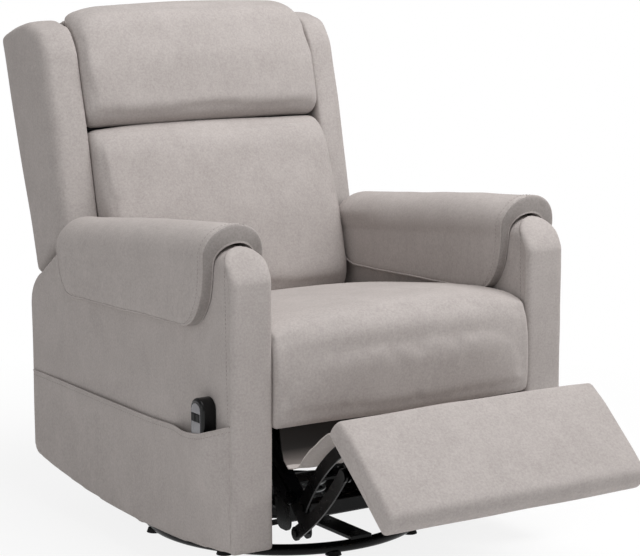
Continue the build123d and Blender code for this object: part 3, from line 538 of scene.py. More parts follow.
def finish_soft(piece, body, replaced, subdivide=True):
    if subdivide:
        apply_modifier(piece, "SUBSURF", levels=1, render_levels=1)
    only(piece)
    bpy.ops.object.shade_smooth()
    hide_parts(*replaced)
    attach(piece, body)


# Padded pieces swept across the chair from a side outline
CORNER_SHARE = 0.48
CORNER_STEPS = 7
EDGE_STEPS = 6
CAP_SCALES = (0.9, 0.7, 0.45, 0.2)


def even_loop(corners, radius_mm, step_mm=7.0):
    """A closed side outline in millimetres with rounded corners and evenly spaced points."""
    corners = np.asarray(corners, float)
    points = []
    for index, corner in enumerate(corners):
        before = corners[index - 1] - corner
        after = corners[(index + 1) % len(corners)] - corner
        cut_in = min(radius_mm, np.linalg.norm(before) * CORNER_SHARE)
        cut_out = min(radius_mm, np.linalg.norm(after) * CORNER_SHARE)
        first = corner + before / np.linalg.norm(before) * cut_in
        last = corner + after / np.linalg.norm(after) * cut_out
        for share in np.linspace(0, 1, CORNER_STEPS):
            points.append((1 - share) ** 2 * first + 2 * share * (1 - share) * corner + share ** 2 * last)
    points = np.array(points + points[:1])
    lengths = run_lengths(points)
    at = np.linspace(0, lengths[-1], int(lengths[-1] / step_mm) + 1)[:-1]
    loop = np.stack([np.interp(at, lengths, points[:, axis]) for axis in range(2)], axis=1)
    area = np.sum(loop[:, 0] * np.roll(loop[:, 1], -1) - np.roll(loop[:, 0], -1) * loop[:, 1])
    return loop if area > 0 else loop[::-1]


def loop_outward(loop):
    """Outward directions along a closed outline."""
    along = np.roll(loop, -1, axis=0) - np.roll(loop, 1, axis=0)
    along /= np.linalg.norm(along, axis=1, keepdims=True)
    return np.stack([along[:, 1], -along[:, 0]], axis=1)


def swept_pad(name, loop, x_low, x_high, edges_mm, swell=None, cap_mm=3.0, step_mm=11.0):
    """A closed padded piece: an outline swept across the chair, its ends rounded by their edge radii.

    swell gives how far each outline point is pushed out at a share across the width, in millimetres.
    """
    outward = loop_outward(loop)
    centre = loop.mean(axis=0)
    low_edge, high_edge = edges_mm
    turns = np.linspace(0, math.pi / 2, EDGE_STEPS)
    stations = [(x_low + low_edge * (1 - math.sin(t)), low_edge * (1 - math.cos(t))) for t in turns[::-1]]
    inner_low, inner_high = x_low + low_edge, x_high - high_edge
    count = max(2, int((inner_high - inner_low) / step_mm))
    stations += [(x, 0.0) for x in np.linspace(inner_low, inner_high, count + 1)[1:-1]]
    stations += [(x_high - high_edge * (1 - math.sin(t)), high_edge * (1 - math.cos(t))) for t in turns]
    rings = []
    for x, inset in stations:
        share = 2 * (x - x_low) / (x_high - x_low) - 1
        push = -inset if swell is None else swell(loop, outward, share) - inset
        ring = loop + outward * np.reshape(push * np.ones(len(loop)), (-1, 1))
        rings.append((x, ring))
    low_ring, high_ring = rings[0][1], rings[-1][1]
    for scale in CAP_SCALES:
        bulge = cap_mm * (1 - scale * scale)
        rings.insert(0, (x_low - bulge, centre + (low_ring - centre) * scale))
        rings.append((x_high + bulge, centre + (high_ring - centre) * scale))
    shape = bmesh.new()
    columns = []
    for x, ring in rings:
        columns.append([shape.verts.new(Vector((x, y, z)) * MM) for y, z in ring])
    size = len(loop)
    weave_faces(shape, [column + column[:1] for column in columns])
    for column in (columns[0], columns[-1]):
        middle = shape.verts.new(sum((v.co for v in column), Vector()) / size)
        for index in range(size):
            shape.faces.new((column[index], column[(index + 1) % size], middle))
    return piece_of(name, shape, cover_cloth)


# Seat cushion: a boxed front that rolls into a top falling to the rear
SEAT_HALF = 287.0
SEAT_EDGE = 11
SEAT_ROLL = 26
SEAT_CROWN = 19
SEAT_REAR_LOSS = 13
SEAT_NOSE = 7
SEAT_LOW, SEAT_REAR, SEAT_SIDE = 0.304, 0.1925, 0.2878
SEAT_SEAM_X = 0.266
SEAT_SEAM = ((-0.436, 0.330), (-0.440, 0.400), (-0.430, 0.470), (-0.370, 0.494), (-0.180, 0.486),
             (0.05, 0.45))
seat_loop = even_loop([
    (187, 357), (190, 408), (160, 422), (-40, 455), (-180, 476), (-300, 488), (-374, 488), (-420, 472),
    (-431, 410), (-429, 318), (-418, 306), (-399, 309), (-398.6, 357)], SEAT_ROLL)


def seat_swell(loop, outward, share):
    """The seat's crown: full in front, less to the rear, none underneath."""
    up = np.clip(outward[:, 1], 0, 1)
    ahead = np.clip(-outward[:, 0], 0, 1)
    rear = np.clip((loop[:, 0] + 60) / 240, 0, 1)
    arch = 1 - abs(share) ** 2.6
    return arch * (up * (SEAT_CROWN - SEAT_REAR_LOSS * rear) + ahead * SEAT_NOSE)


seat = swept_pad("seat_pad", seat_loop, -SEAT_HALF, SEAT_HALF, (SEAT_EDGE, SEAT_EDGE), seat_swell,
                 cap_mm=0.6)
inflate(seat, cap_mm=5)
keep_within(seat, (-SEAT_SIDE, None, SEAT_LOW), (SEAT_SIDE, SEAT_REAR, None), soft_mm=1.0)
for sign in (-1, 1):
    seam = rounded([(sign * SEAT_SEAM_X, y, z) for y, z in SEAT_SEAM])
    press_line(seat, seam, depth_mm=1.6, width_mm=5.0, pucker_mm=0.7, pucker_pitch_mm=23)
crumple(seat, size_mm=150, depth_mm=2.6, seed=1.3)
finish_soft(seat, "chair", ["seat_cushion"])

# Back cushions between the wings
PIVOT_Y, PIVOT_Z = 215, 345
lean = math.radians(18)
BACK_FACING = np.array([-math.cos(lean), math.sin(lean)])
CUSHION_HALF = 276.0
CUSHION_SIDE = 0.2765
CUSHION_EDGE = 20
CUSHION_ROLL = 24
LUMBAR = ((60, 24.4), (62, 62), (96, 84), (240, 93), (390, 86), (432, 62), (440, 40), (437, 24.4))
HEAD = ((444, 24.4), (443, 52), (462, 80), (570, 91), (652, 82), (686, 58), (698, 30), (694, 24.4))
HEAD_ROUND_LOW, HEAD_ROUND_TALL = 0.90, 0.13
HEAD_CORNER, HEAD_CORNER_WIDE = 0.205, 0.07
HEAD_NARROWING = 0.018
HEAD_CORNER_BACK, HEAD_CORNER_DOWN = 0.012, 0.018


def on_back(up, forward):
    """The (Y, Z) point at a distance up the leaning back and forward of its pivot plane, in millimetres."""
    return (PIVOT_Y + up * math.sin(lean) - forward * math.cos(lean),
            PIVOT_Z + up * math.cos(lean) + forward * math.sin(lean))


def back_swell(rise):
    """Swell of a back cushion towards the sitter, given its rise in the middle."""
    def swell(loop, outward, share):
        return np.clip(outward @ BACK_FACING, 0, 1) * rise * (1 - abs(share) ** 2.4)
    return swell


def round_head(piece):
    """Narrow the head cushion to its top and let its upper corners fall back."""
    places = points_of(piece)
    rise = np.clip((places[:, 2] - HEAD_ROUND_LOW) / HEAD_ROUND_TALL, 0, 1)
    corner = np.clip((abs(places[:, 0]) - HEAD_CORNER) / HEAD_CORNER_WIDE, 0, 1)
    places[:, 0] *= 1 - HEAD_NARROWING * rise
    places[:, 1] += HEAD_CORNER_BACK * corner ** 2 * rise
    places[:, 2] -= HEAD_CORNER_DOWN * corner ** 2 * rise
    put_points(piece, places)


for name, source, outline, rise in (("lumbar_pad", "lumbar_cushion", LUMBAR, 19),
                                    ("head_pad", "head_cushion", HEAD, 17)):
    loop = even_loop([on_back(*place) for place in outline], CUSHION_ROLL)
    cushion = swept_pad(name, loop, -CUSHION_HALF, CUSHION_HALF, (CUSHION_EDGE, CUSHION_EDGE),
                        back_swell(rise))
    inflate(cushion, cap_mm=5)
    keep_within(cushion, (-CUSHION_SIDE, None, None), (CUSHION_SIDE, None, None), soft_mm=1.0)
    if name == "head_pad":
        round_head(cushion)
    crumple(cushion, size_mm=140, depth_mm=2.4, seed=len(name) * 1.7)
    finish_soft(cushion, "back", [source])

# Wings, outside back and rear flap
WING_IN, WING_OUT = 276.8, 349.0
WING_IN_LIMIT, WING_OUT_LIMIT = 0.2752, 0.360
WING_IN_EDGE, WING_OUT_EDGE = 7, 17
WING_ROLL = 15
WING_SWELL = 3.0
WING_TURN = 8.0
wing_outline = [(240, 36), (350, 46), (470, 58), (598, 66), (648, 50), (679, -4), (684, -60), (682, -127),
                (560, -129), (300, -129), (176, -129)]
wing_loop = even_loop([on_back(*place) for place in wing_outline], WING_ROLL)


def wing_swell(sign):
    """A wing is fullest in the middle of its width, and its front faces a little outward."""
    def swell(loop, outward, share):
        ahead = np.clip(outward @ BACK_FACING, 0, 1)
        return WING_SWELL * (1 - share * share) - WING_TURN * sign * share * ahead
    return swell


for side, sign in SIDES:
    span = sorted((sign * WING_IN, sign * WING_OUT))
    edges = (WING_IN_EDGE, WING_OUT_EDGE)[::sign]
    wing = swept_pad("wing_pad_" + side, wing_loop, *span, edges, wing_swell(sign), cap_mm=4.0, step_mm=8.0)
    apply_modifier(wing, "REMESH", mode="VOXEL", voxel_size=5 * MM)
    apply_modifier(wing, "SMOOTH", factor=0.5, iterations=2)
    limit = sorted((sign * WING_IN_LIMIT, sign * WING_OUT_LIMIT))
    keep_within(wing, (limit[0], None, None), (limit[1], None, None), soft_mm=1.5)
    crumple(wing, size_mm=130, depth_mm=2.0, seed=2.0 + sign)
    finish_soft(wing, "back", ["wing_" + side], subdivide=False)
rear_panel = sewn_copy("outside_back", ["back_cover"], voxel_mm=6, smooth=3)
crumple(rear_panel, size_mm=180, depth_mm=2.0, seed=6.0)
finish_soft(rear_panel, "back", ["back_cover"], subdivide=False)
skirt = sewn_copy("rear_flap", ["rear_skirt"], voxel_mm=4, smooth=2)
finish_soft(skirt, "chair", ["rear_skirt"], subdivide=False)

# Arms
ARM_IN, ARM_OUT, ARM_SPRING, ARM_CROWN = 0.288, 0.370, 0.612, 0.648
ARM_FRONT = -0.415
ARM_FALL = math.tan(math.radians(6.2))
ARM_MIDDLE = (ARM_IN + ARM_OUT) / 2
ARM_HALF = (ARM_OUT - ARM_IN) / 2
NOSE_LOW, NOSE_TALL = 0.575, 0.073
NOSE_START, NOSE_REACH = -0.24, 0.16
NOSE_BACK, NOSE_DOWN = 0.040, 0.012
LIP_START, LIP_REACH, LIP_OUT = -0.35, 0.05, 0.008
FACE_FORWARD = 0.003
FACE_FILL_MM = 2.0
SEAM_Y, SEAM_LOW = -0.4065, 0.10


def arch_path(sign, count=16):
    """The arch seam of an arm's front, from the outer foot over the top to the inner foot."""
    outer, inner = sign * (ARM_MIDDLE + ARM_HALF), sign * (ARM_MIDDLE - ARM_HALF)
    rise = ARM_CROWN - ARM_SPRING
    points = [(outer, SEAM_Y, SEAM_LOW), (outer, SEAM_Y, ARM_SPRING)]
    for step in range(1, count):
        turn = math.pi * step / count
        x = sign * (ARM_MIDDLE + ARM_HALF * math.cos(turn))
        points.append((x, SEAM_Y, ARM_SPRING + rise * math.sin(turn)))
    return points + [(inner, SEAM_Y, ARM_SPRING), (inner, SEAM_Y, SEAM_LOW)]


def roll_nose(places):
    """Roll the top of an arm's front back under its saddle, fading out along the arm."""
    places = places.copy()
    rise = np.clip((places[:, 2] - NOSE_LOW) / NOSE_TALL, 0, 1)
    near = np.clip((NOSE_START - places[:, 1]) / NOSE_REACH, 0, 1)
    places[:, 1] += NOSE_BACK * rise ** 1.5 * near
    places[:, 2] -= NOSE_DOWN * rise * near * near
    return places


for side, sign in SIDES:
    arm = sewn_copy("arm_" + side, ["arm_cover_" + side], voxel_mm=6, smooth=3)
    places = points_of(arm)
    places[:, 1] -= LIP_OUT * np.clip((LIP_START - places[:, 1]) / LIP_REACH, 0, 1)
    put_points(arm, roll_nose(places))
    crumple(arm, size_mm=200, depth_mm=2.2, seed=3.0 * sign)
    finish_soft(arm, "chair", ["arm_cover_" + side], subdivide=False)
    front = sewn_copy("arm_face_" + side, ["arm_front_" + side], voxel_mm=3.2, smooth=3)
    places = points_of(front) + normals_of(front) * FACE_FILL_MM * MM
    places[:, 1] -= FACE_FORWARD
    put_points(front, roll_nose(places))
    crumple(front, size_mm=90, depth_mm=1.2, seed=2.0 * sign)
    finish_soft(front, "chair", ["arm_front_" + side], subdivide=False)
    seam = roll_nose(np.array(arch_path(sign)))
    stitch_row("arm_seam_stitch_" + side, arm, seam, "chair", radius_mm=0.45)


# Saddle pads: a thick flap over each arm, boxed in front and rolled at its other edges
FRONT_EDGE = ((0.480, -0.262), (0.488, -0.296), (0.497, -0.316), (0.510, -0.332), (0.530, -0.347),
              (0.552, -0.354), (0.590, -0.360), (0.618, -0.371), (0.634, -0.392), (0.646, -0.412),
              (0.660, -0.421), (0.70, -0.424))
REAR_EDGE = ((0.470, 0.110), (0.476, 0.150), (0.486, 0.184), (0.504, 0.206), (0.530, 0.219), (0.565, 0.224),
             (0.60, 0.228), (0.70, 0.232))
SECTION_Y = -0.1
SECTION_STEPS = 40
HEM_Z, HEM_WIDE = 0.482, 0.033
HEM_FRONT_Y, HEM_FRONT_Z = -0.33, 0.483
HEM_FALL, HEM_LONG = 0.017, 0.516
HEM_STEPS = (0, 0.6, 1.8, 3.6, 6.0, 9.0, 13.0, 18.0, 25.0)
EDGE_ROWS = (0, 0.4, 1.4, 3.0, 5.5, 9, 14, 20, 28)
SADDLE_LONG = 600
SIDE_THICK, OUTER_EXTRA, TOP_EXTRA, REAR_EXTRA, INNER_LOSS = 16, 5, 16, 5, 6
BAND_GROOVE, BAND_GROOVE_WIDE, BAND_GROOVE_MM = 0.0085, 0.0026, 2.0
BAND_PUCKER, BAND_PUCKER_AT, BAND_PUCKER_WIDE = 0.13, 0.022, 0.024
FRONT_DROOP = 0.013
UNDER_GAP, OVER_GAP = 0.0008, 0.0012
BAND_ROWS = 3
SEAM_ROW, SEAM_ENDS = 7, 5
WELT_IN, WELT_CORNER, WELT_REAR = 4, 6, 9


def saddle_section(sign):
    """Points and outward directions round an arm's section, from the outer hem to the inner hem."""
    spring = ARM_SPRING - (SECTION_Y - ARM_FRONT) * ARM_FALL
    rise = ARM_CROWN - ARM_SPRING
    dense = [(ARM_MIDDLE + ARM_HALF, z, 1, 0) for z in np.linspace(HEM_Z, spring, 40)]
    for turn in np.linspace(0, math.pi, 60)[1:-1]:
        dense.append((ARM_MIDDLE + ARM_HALF * math.cos(turn), spring + rise * math.sin(turn),
                      math.cos(turn), math.sin(turn)))
    dense += [(ARM_MIDDLE - ARM_HALF, z, -1, 0) for z in np.linspace(spring, HEM_Z, 40)]
    dense = np.array(dense)
    lengths = run_lengths(dense[:, :2])
    ends = np.array(HEM_STEPS) * MM
    middle_part = np.linspace(HEM_WIDE, lengths[-1] - HEM_WIDE, SECTION_STEPS)
    at = np.concatenate([ends, middle_part, (lengths[-1] - ends)[::-1]])
    section = np.stack([np.interp(at, lengths, dense[:, axis]) for axis in range(4)], axis=1)
    section[:, 0] *= sign
    section[:, 2] *= sign
    return section, at, lengths[-1]


def eased(distance, radius_mm, power):
    """From 0 at an edge to 1 at its radius, as a rolled edge rises."""
    share = np.clip(1 - distance / (radius_mm * MM), 0, 1)
    return (1 - share ** power) ** (1 / power)


def saddle_points(sign, spot, along, total, share):
    """The flap's outer and inner point at a place round the arm and a share of the flap's length."""
    x, z, nx, nz = spot
    front = edge_at(FRONT_EDGE, z)
    rear = edge_at(REAR_EDGE, z)
    y = front + (rear - front) * share
    drop = -(y - SECTION_Y) * ARM_FALL * np.clip((z - 0.50) / 0.08, 0, 1)
    hem_drop = HEM_FRONT_Z - HEM_FALL * (y - HEM_FRONT_Y) / HEM_LONG - HEM_Z
    hem_drop *= np.clip((0.56 - z) / 0.07, 0, 1)
    up = np.clip(nz, 0, 1)
    outside = np.clip(nx * sign, 0, 1)
    level = SIDE_THICK + OUTER_EXTRA * outside + TOP_EXTRA * up
    level += REAR_EXTRA * up * np.clip((y + 0.40) / 0.25, 0, 1)
    if outside < 0.5 and up < 0.5:
        level -= INNER_LOSS * np.clip((y - 0.05) / 0.08, 0, 1)
    lift = level * MM
    lift *= eased(y - front, 5, 3.4)
    lift *= eased(rear - y, 30, 2.4)
    lift *= eased(min(along, total - along), 15, 2.6)
    pucker = noise.noise(Vector((along * 55, (y - front) * 22, sign * 3.0)))
    near_front = math.exp(-((y - front - BAND_PUCKER_AT) / BAND_PUCKER_WIDE) ** 2)
    lift += lift * BAND_PUCKER * pucker * near_front * np.clip(up * 1.4, 0.3, 1)
    dip = math.exp(-((y - front - BAND_GROOVE) / BAND_GROOVE_WIDE) ** 2)
    lift -= BAND_GROOVE_MM * MM * dip * np.clip(lift / 0.012, 0, 1)
    droop = FRONT_DROOP * up * np.clip((-0.345 - y) / 0.065, 0, 1) ** 2
    base = Vector((x, y, z + drop + hem_drop - droop))
    out = Vector((nx, 0, nz))
    return base + out * (OVER_GAP + lift), base + out * UNDER_GAP


for side, sign in SIDES:
    steps = np.concatenate([EDGE_ROWS, np.linspace(38, 590, 42)]) / SADDLE_LONG
    tail = 1 - np.array(EDGE_ROWS[::-1]) / SADDLE_LONG
    shares = np.concatenate([steps[steps < tail[0] - 0.004], tail])
    section, at, total = saddle_section(sign)
    outer, inner = [], []
    for share in shares:
        pairs = [saddle_points(sign, spot, along, total, share) for spot, along in zip(section, at)]
        outer.append([pair[0] for pair in pairs])
        inner.append([pair[1] for pair in pairs])
    shape = bmesh.new()
    top = [[shape.verts.new(place) for place in row] for row in outer]
    low = [[shape.verts.new(place) for place in row] for row in inner]
    rows, columns = len(top), len(top[0])
    for i in range(rows - 1):
        for j in range(columns - 1):
            shape.faces.new((top[i][j], top[i][j + 1], top[i + 1][j + 1], top[i + 1][j]))
            shape.faces.new((low[i][j], low[i + 1][j], low[i + 1][j + 1], low[i][j + 1]))
    for i in range(rows - 1):
        shape.faces.new((top[i][0], top[i + 1][0], low[i + 1][0], low[i][0]))
        shape.faces.new((top[i][-1], low[i][-1], low[i + 1][-1], top[i + 1][-1]))
    for j in range(columns - 1):
        shape.faces.new((top[0][j], low[0][j], low[0][j + 1], top[0][j + 1]))
        shape.faces.new((top[-1][j], top[-1][j + 1], low[-1][j + 1], low[-1][j]))
    saddle = piece_of("saddle_" + side, shape, cover_cloth)
    # The first rows, the flap's front band, take the darker copy: painted shade
    saddle.data.materials.append(band_painted_shade_cloth)
    for face in saddle.data.polygons[:2 * BAND_ROWS * (columns - 1)]:
        face.material_index = 1
    crumple(saddle, size_mm=70, depth_mm=1.6, seed=5.0 * sign)
    seam_row = [outer[SEAM_ROW][j] for j in range(SEAM_ENDS, columns - SEAM_ENDS)]
    middle, far = columns // 2, columns - WELT_CORNER
    welt_row = [outer[WELT_IN][j] for j in range(middle, WELT_CORNER - 1, -1)]
    welt_row += [outer[i][WELT_IN] for i in range(WELT_CORNER + 1, rows - WELT_REAR)]
    welt_row += [outer[rows - WELT_CORNER][j] for j in range(WELT_CORNER, far)]
    welt_row += [outer[i][columns - 1 - WELT_IN] for i in range(rows - WELT_REAR - 1, WELT_CORNER, -1)]
    welt_row += [outer[WELT_IN][j] for j in range(far, middle, -1)]
    finish_soft(saddle, "chair", ["arm_pad_" + side])
    stitch_row("saddle_stitch_" + side, saddle, seam_row, "chair", radius_mm=0.4)
    tube_on("saddle_welt_" + side, saddle, rounded(welt_row, 2), "chair", radius_mm=1.7, lift_mm=0.4)

# Side pocket: a flat panel sewn in along its sides and foot, with an open hem at the handset
HANDSET_Y = -0.338
HANDSET_REACH = 0.024
TENT_AHEAD, TENT_BEHIND = 0.042, 0.120
TENT_FULL_Z, TENT_TALL = 0.268, 0.11
TENT_OUT, SLACK_OUT, SEWN_OUT = 0.0285, 0.0030, 0.0022
POCKET_FRONT, POCKET_REAR = -0.4095, 0.374
POCKET_COLUMNS, POCKET_ROWS = 118, 40
HEM_INSET, HEM_COLUMNS = 0.001, 100
STITCH_DROP = 0.009
CLOTH_MM = 1.8
POCKET_HEM = ((-0.406, 0.323), (-0.380, 0.312), (-0.350, 0.302), (-0.322, 0.298), (-0.279, 0.294),
              (-0.20, 0.287), (-0.122, 0.284), (0.078, 0.284), (0.249, 0.285), (0.376, 0.284))
POCKET_FOOT = ((-0.406, 0.096), (-0.30, 0.083), (-0.20, 0.075), (-0.09, 0.071), (0.05, 0.074),
               (0.18, 0.083), (0.29, 0.096), (0.345, 0.106), (0.376, 0.128))


def smooth(share):
    """An even start and end between 0 and 1."""
    return share * share * (3 - 2 * share)


def pocket_stand(y, z):
    """How far the pocket stands off the arm.

    It is tented round the handset, slack at its hem and flat at its seams.
    """
    side_reach = TENT_AHEAD if y < HANDSET_Y else TENT_BEHIND
    beside = np.clip((abs(y - HANDSET_Y) - HANDSET_REACH) / side_reach, 0, 1)
    below = np.clip((TENT_FULL_Z - z) / TENT_TALL, 0, 1)
    round_it = 1 - smooth(beside)
    deep = 1 - smooth(below)
    near_hem = math.exp(-((edge_at(POCKET_HEM, y) - z) / 0.05) ** 2)
    slack = near_hem * math.sin(math.pi * np.clip((y + 0.36) / 0.70, 0, 1))
    return SEWN_OUT + TENT_OUT * round_it * deep + SLACK_OUT * slack


arm_skin = BVHTree.FromObject(bpy.data.objects["arm_right"], bpy.context.evaluated_depsgraph_get())


def pocket_place(y, z):
    """A point of the pocket's outer side, standing off the arm's skin."""
    spot, _, _, _ = arm_skin.ray_cast(Vector((-0.6, y, z)), Vector((1, 0, 0)))
    flat = -ARM_OUT if spot is None or spot.x > 0.010 - ARM_OUT else spot.x
    return Vector((flat - pocket_stand(y, z), y, z))


shape = bmesh.new()
grid = []
for y in np.linspace(POCKET_FRONT, POCKET_REAR, POCKET_COLUMNS):
    heights = np.linspace(edge_at(POCKET_FOOT, y), edge_at(POCKET_HEM, y), POCKET_ROWS)
    grid.append([shape.verts.new(pocket_place(y, z)) for z in heights])
weave_faces(shape, grid)
pocket = piece_of("pocket_panel", shape, cover_cloth)
if pocket.data.polygons[0].normal.x > 0:
    pocket.data.flip_normals()
apply_modifier(pocket, "SMOOTH", factor=0.5, iterations=3)
apply_modifier(pocket, "SOLIDIFY", thickness=CLOTH_MM * MM, offset=-1.0)
shade_by_angle(pocket, 50)
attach(pocket, "chair")
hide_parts("side_pocket")
hem_places = np.linspace(POCKET_FRONT + HEM_INSET, POCKET_REAR - HEM_INSET, HEM_COLUMNS)
hem_line = [pocket_place(y, edge_at(POCKET_HEM, y) - 0.0012) for y in hem_places]
tube_on("pocket_hem", pocket, hem_line, "chair", radius_mm=1.5)
stitch_line = [(x - 0.002, y, z - STITCH_DROP) for x, y, z in hem_line]
stitch_row("pocket_stitch", pocket, stitch_line, "chair", radius_mm=0.35)

# Footrest pad: a flat slab with softly rolled edges
FOOT_Y, FOOT_Z = 588, 330
FOOT_HALF, FOOT_EDGE, FOOT_ROLL, FOOT_CROWN = 282, 9, 9, 5.0
slope = math.radians(-41)


def on_foot(along, off):
    """The (Y, Z) point along the footrest and off its underside, in millimetres."""
    return (-(FOOT_Y + along * math.cos(slope) - off * math.sin(slope)),
            FOOT_Z + along * math.sin(slope) + off * math.cos(slope))


def foot_swell(loop, outward, share):
    """A slight crown of the footrest's upper face."""
    facing = np.array([math.sin(slope), math.cos(slope)])
    return np.clip(outward @ facing, 0, 1) * FOOT_CROWN * (1 - abs(share) ** 4)


FOOT_SIDE = ((-4, 1), (-6, 24), (0, 45), (50, 50), (150, 50), (206, 46), (217, 26), (215, 1), (110, 0.6))
foot_loop = even_loop([on_foot(*place) for place in FOOT_SIDE], FOOT_ROLL, step_mm=4.5)
rest = swept_pad("foot_pad", foot_loop, -FOOT_HALF, FOOT_HALF, (FOOT_EDGE, FOOT_EDGE), foot_swell,
                 cap_mm=2.5)
crumple(rest, size_mm=120, depth_mm=1.5, seed=9.0)
finish_soft(rest, "footrest", ["footrest_pad"])

# Gap cover: two lengths of loose cloth from the seat front to the footrest
GAP_HALF = 0.258
GAP_FOLD_SHARE = 0.31
DRAPE_HALF = 0.284
SHEET_COLUMNS, SHEET_STEP = 87, 4
SLOW_FOLD_MM, FINE_FOLD_MM = 5.0, 2.2
cover_line = np.array([(392, 317), (395, 292), (401, 262), (409, 243), (424, 231), (442, 236), (457, 244),
                       (473, 264), (494, 283), (515, 296), (535, 310), (553, 323), (576, 326)]) * MM


def hung_sheet(name, line, half, material):
    """A width of loose cloth along a side line, with slow folds."""
    shape = bmesh.new()
    grid = []
    for x in np.linspace(-half, half, SHEET_COLUMNS):
        column = []
        for y, z in line[:, 1:]:
            fold = SLOW_FOLD_MM * noise.noise(Vector((x * 7, y * 16, 2.0)))
            fold += FINE_FOLD_MM * noise.noise(Vector((x * 26, z * 30, 7.0)))
            column.append(shape.verts.new((x, y + fold * MM * 0.5, z + fold * MM)))
        grid.append(column)
    weave_faces(shape, grid)
    cloth = piece_of(name, shape, material)
    apply_modifier(cloth, "SOLIDIFY", thickness=CLOTH_MM * MM, offset=0.0)
    shade_by_angle(cloth, 60)
    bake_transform(cloth)
    return cloth


gap_line = resample([(0, -s, z) for s, z in cover_line], SHEET_STEP)
fold_at = round(GAP_FOLD_SHARE * (len(gap_line) - 1))
# The rear length is dark with painted shade, where the seat's shade falls on it
rear_apron = hung_sheet("apron_rear", gap_line[:fold_at + 1], GAP_HALF,
                        painted_shade_lining)
hung_sheet("apron_front", gap_line[fold_at:], GAP_HALF,
           lining_cloth)
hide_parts("gap_cover")

# Cloth that closes the gap between the outside back and the rear skirt
drape_side = ((0.3375, 0.337), (0.343, 0.318), (0.354, 0.290), (0.3665, 0.266), (0.3665, 0.222))
drape_line = resample(rounded([(0, y, z) for y, z in drape_side], passes=2), SHEET_STEP)
hung_sheet("rear_drape", drape_line, DRAPE_HALF,
           cover_cloth)

# Handset face: a grey arched plate with a window for the two keys
FACE_X, FACE_Z, ARCH_Z, WINDOW_Z = -0.3990, 0.299, 0.340, 0.329
FACE_THICK, FACE_WIDE, FACE_TALL = 0.0012, 0.030, 0.082
WINDOW_SIZE = (0.01, 0.0284, 0.0158)


def block(name, z, size):
    """A plain block on the handset's front."""
    bpy.ops.mesh.primitive_cube_add(size=1.0, location=(FACE_X, HANDSET_Y, z))
    made = bpy.context.active_object
    made.name = name
    made.dimensions = size
    bpy.ops.object.transform_apply(location=True, rotation=True, scale=True)
    return made


bpy.ops.object.select_all(action="DESELECT")
face = block("handset_face", FACE_Z, (FACE_THICK, FACE_WIDE, FACE_TALL))
bpy.ops.mesh.primitive_cylinder_add(vertices=48, radius=FACE_WIDE / 2, depth=FACE_THICK,
                                    location=(FACE_X, HANDSET_Y, ARCH_Z), rotation=(0, math.pi / 2, 0))
arch = bpy.context.active_object
window = block("key_window", WINDOW_Z, WINDOW_SIZE)
apply_modifier(face, "BOOLEAN", operation="UNION", object=arch, solver="EXACT")
apply_modifier(face, "BOOLEAN", operation="DIFFERENCE", object=window, solver="EXACT")
for helper in (arch, window):
    bpy.data.objects.remove(helper)
apply_modifier(face, "BEVEL", width=0.35 * MM, segments=2)
face.data.materials.clear()
face.data.materials.append(face_plastic)
shade_by_angle(face, 40)
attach(face, "handset")

# Rocker springs as a piece of their own
coils = new_piece("spring_coils", nodes["rocker_springs"].data.copy(), bright_zinc)
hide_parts("rocker_springs")
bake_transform(coils)

# Floor and light
FLOOR_WIDE, FLOOR_Z = 14.0, -0.0005
SHADOW_REACH, WHITE_REACH, NEAR_WHITE = 0.7, 1.7, 0.86
WHITE = (1, 1, 1, 1)
bpy.ops.object.select_all(action="DESELECT")
bpy.ops.mesh.primitive_plane_add(size=FLOOR_WIDE, location=(0, 0, FLOOR_Z))
floor = bpy.context.active_object
floor.name = "floor"
pale, pale_shader, floor_place = start_material("pale_floor")
set_inputs(pale_shader, {"Base Color": (0.9, 0.9, 0.9, 1), "Roughness": 0.9})
rays = add_node(pale, "ShaderNodeLightPath")
glow = add_node(pale, "ShaderNodeEmission", inputs={"Color": WHITE, "Strength": 1.0})
seen = add_node(pale, "ShaderNodeMath", {"operation": "MAXIMUM"}, {
    0: rays.outputs["Is Camera Ray"], 1: rays.outputs["Is Glossy Ray"]})
away = add_node(pale, "ShaderNodeVectorMath", {"operation": "LENGTH"}, {0: floor_place})
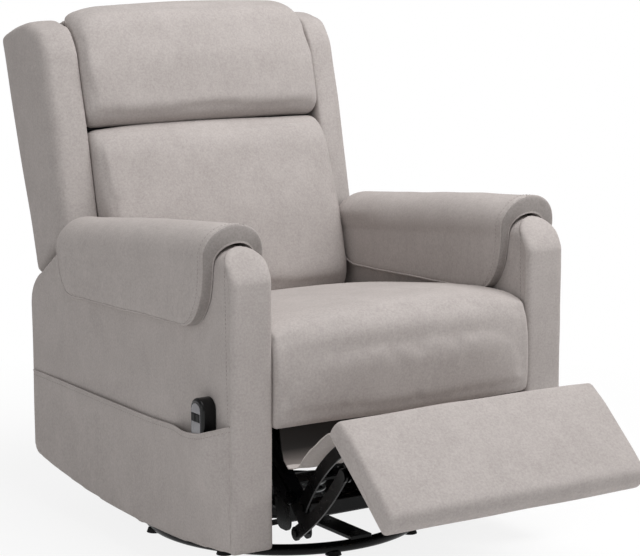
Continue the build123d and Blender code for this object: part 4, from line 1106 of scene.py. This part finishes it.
fade = add_node(pale, "ShaderNodeMapRange", inputs={
    "Value": away.outputs["Value"], "From Min": SHADOW_REACH, "From Max": WHITE_REACH,
    "To Min": NEAR_WHITE, "To Max": 1.0})
part = add_node(pale, "ShaderNodeMath", {"operation": "MULTIPLY"}, {
    0: seen.outputs["Value"], 1: fade.outputs["Result"]})
cover = add_node(pale, "ShaderNodeMixShader", inputs={
    "Fac": part.outputs["Value"], 1: pale_shader.outputs["BSDF"], 2: glow.outputs["Emission"]})
link(pale, cover.outputs["Shader"], pale.node_tree.nodes["Material Output"], "Surface")
floor.data.materials.append(pale)

world = bpy.data.worlds.new("studio")
world.use_nodes = True
bpy.context.scene.world = world
sky = world.node_tree.nodes["Background"]
set_inputs(sky, {"Color": WHITE, "Strength": 0.34})
white = add_node(world, "ShaderNodeBackground", inputs={"Color": WHITE})
sky_rays = add_node(world, "ShaderNodeLightPath")
either = add_node(world, "ShaderNodeMath", {"operation": "MAXIMUM"}, {
    0: sky_rays.outputs["Is Camera Ray"], 1: sky_rays.outputs["Is Transmission Ray"]})
choose = add_node(world, "ShaderNodeMixShader", inputs={
    "Fac": either.outputs["Value"], 1: sky.outputs["Background"], 2: white.outputs["Background"]})
link(world, choose.outputs["Shader"], world.node_tree.nodes["World Output"], "Surface")


def softbox(name, place, target, size, power):
    """A large soft studio lamp that points at the chair."""
    lamp = bpy.data.lights.new(name, "AREA")
    lamp.shape = "RECTANGLE"
    lamp.size, lamp.size_y = size
    lamp.energy = power
    holder = bpy.data.objects.new(name, lamp)
    bpy.context.collection.objects.link(holder)
    holder.location = place
    holder.rotation_euler = (Vector(target) - Vector(place)).to_track_quat("-Z", "Y").to_euler()


softbox("overhead", place=(0.4, -1.1, 3.4), target=(0.1, -0.1, 0.5), size=(2.6, 2.2), power=88)
softbox("key", place=(2.0, -1.7, 2.8), target=(0.2, -0.1, 0.5), size=(1.4, 1.4), power=32)
softbox("fill", place=(-3.4, -1.0, 1.2), target=(0.0, 0.0, 0.5), size=(2.0, 1.6), power=17)
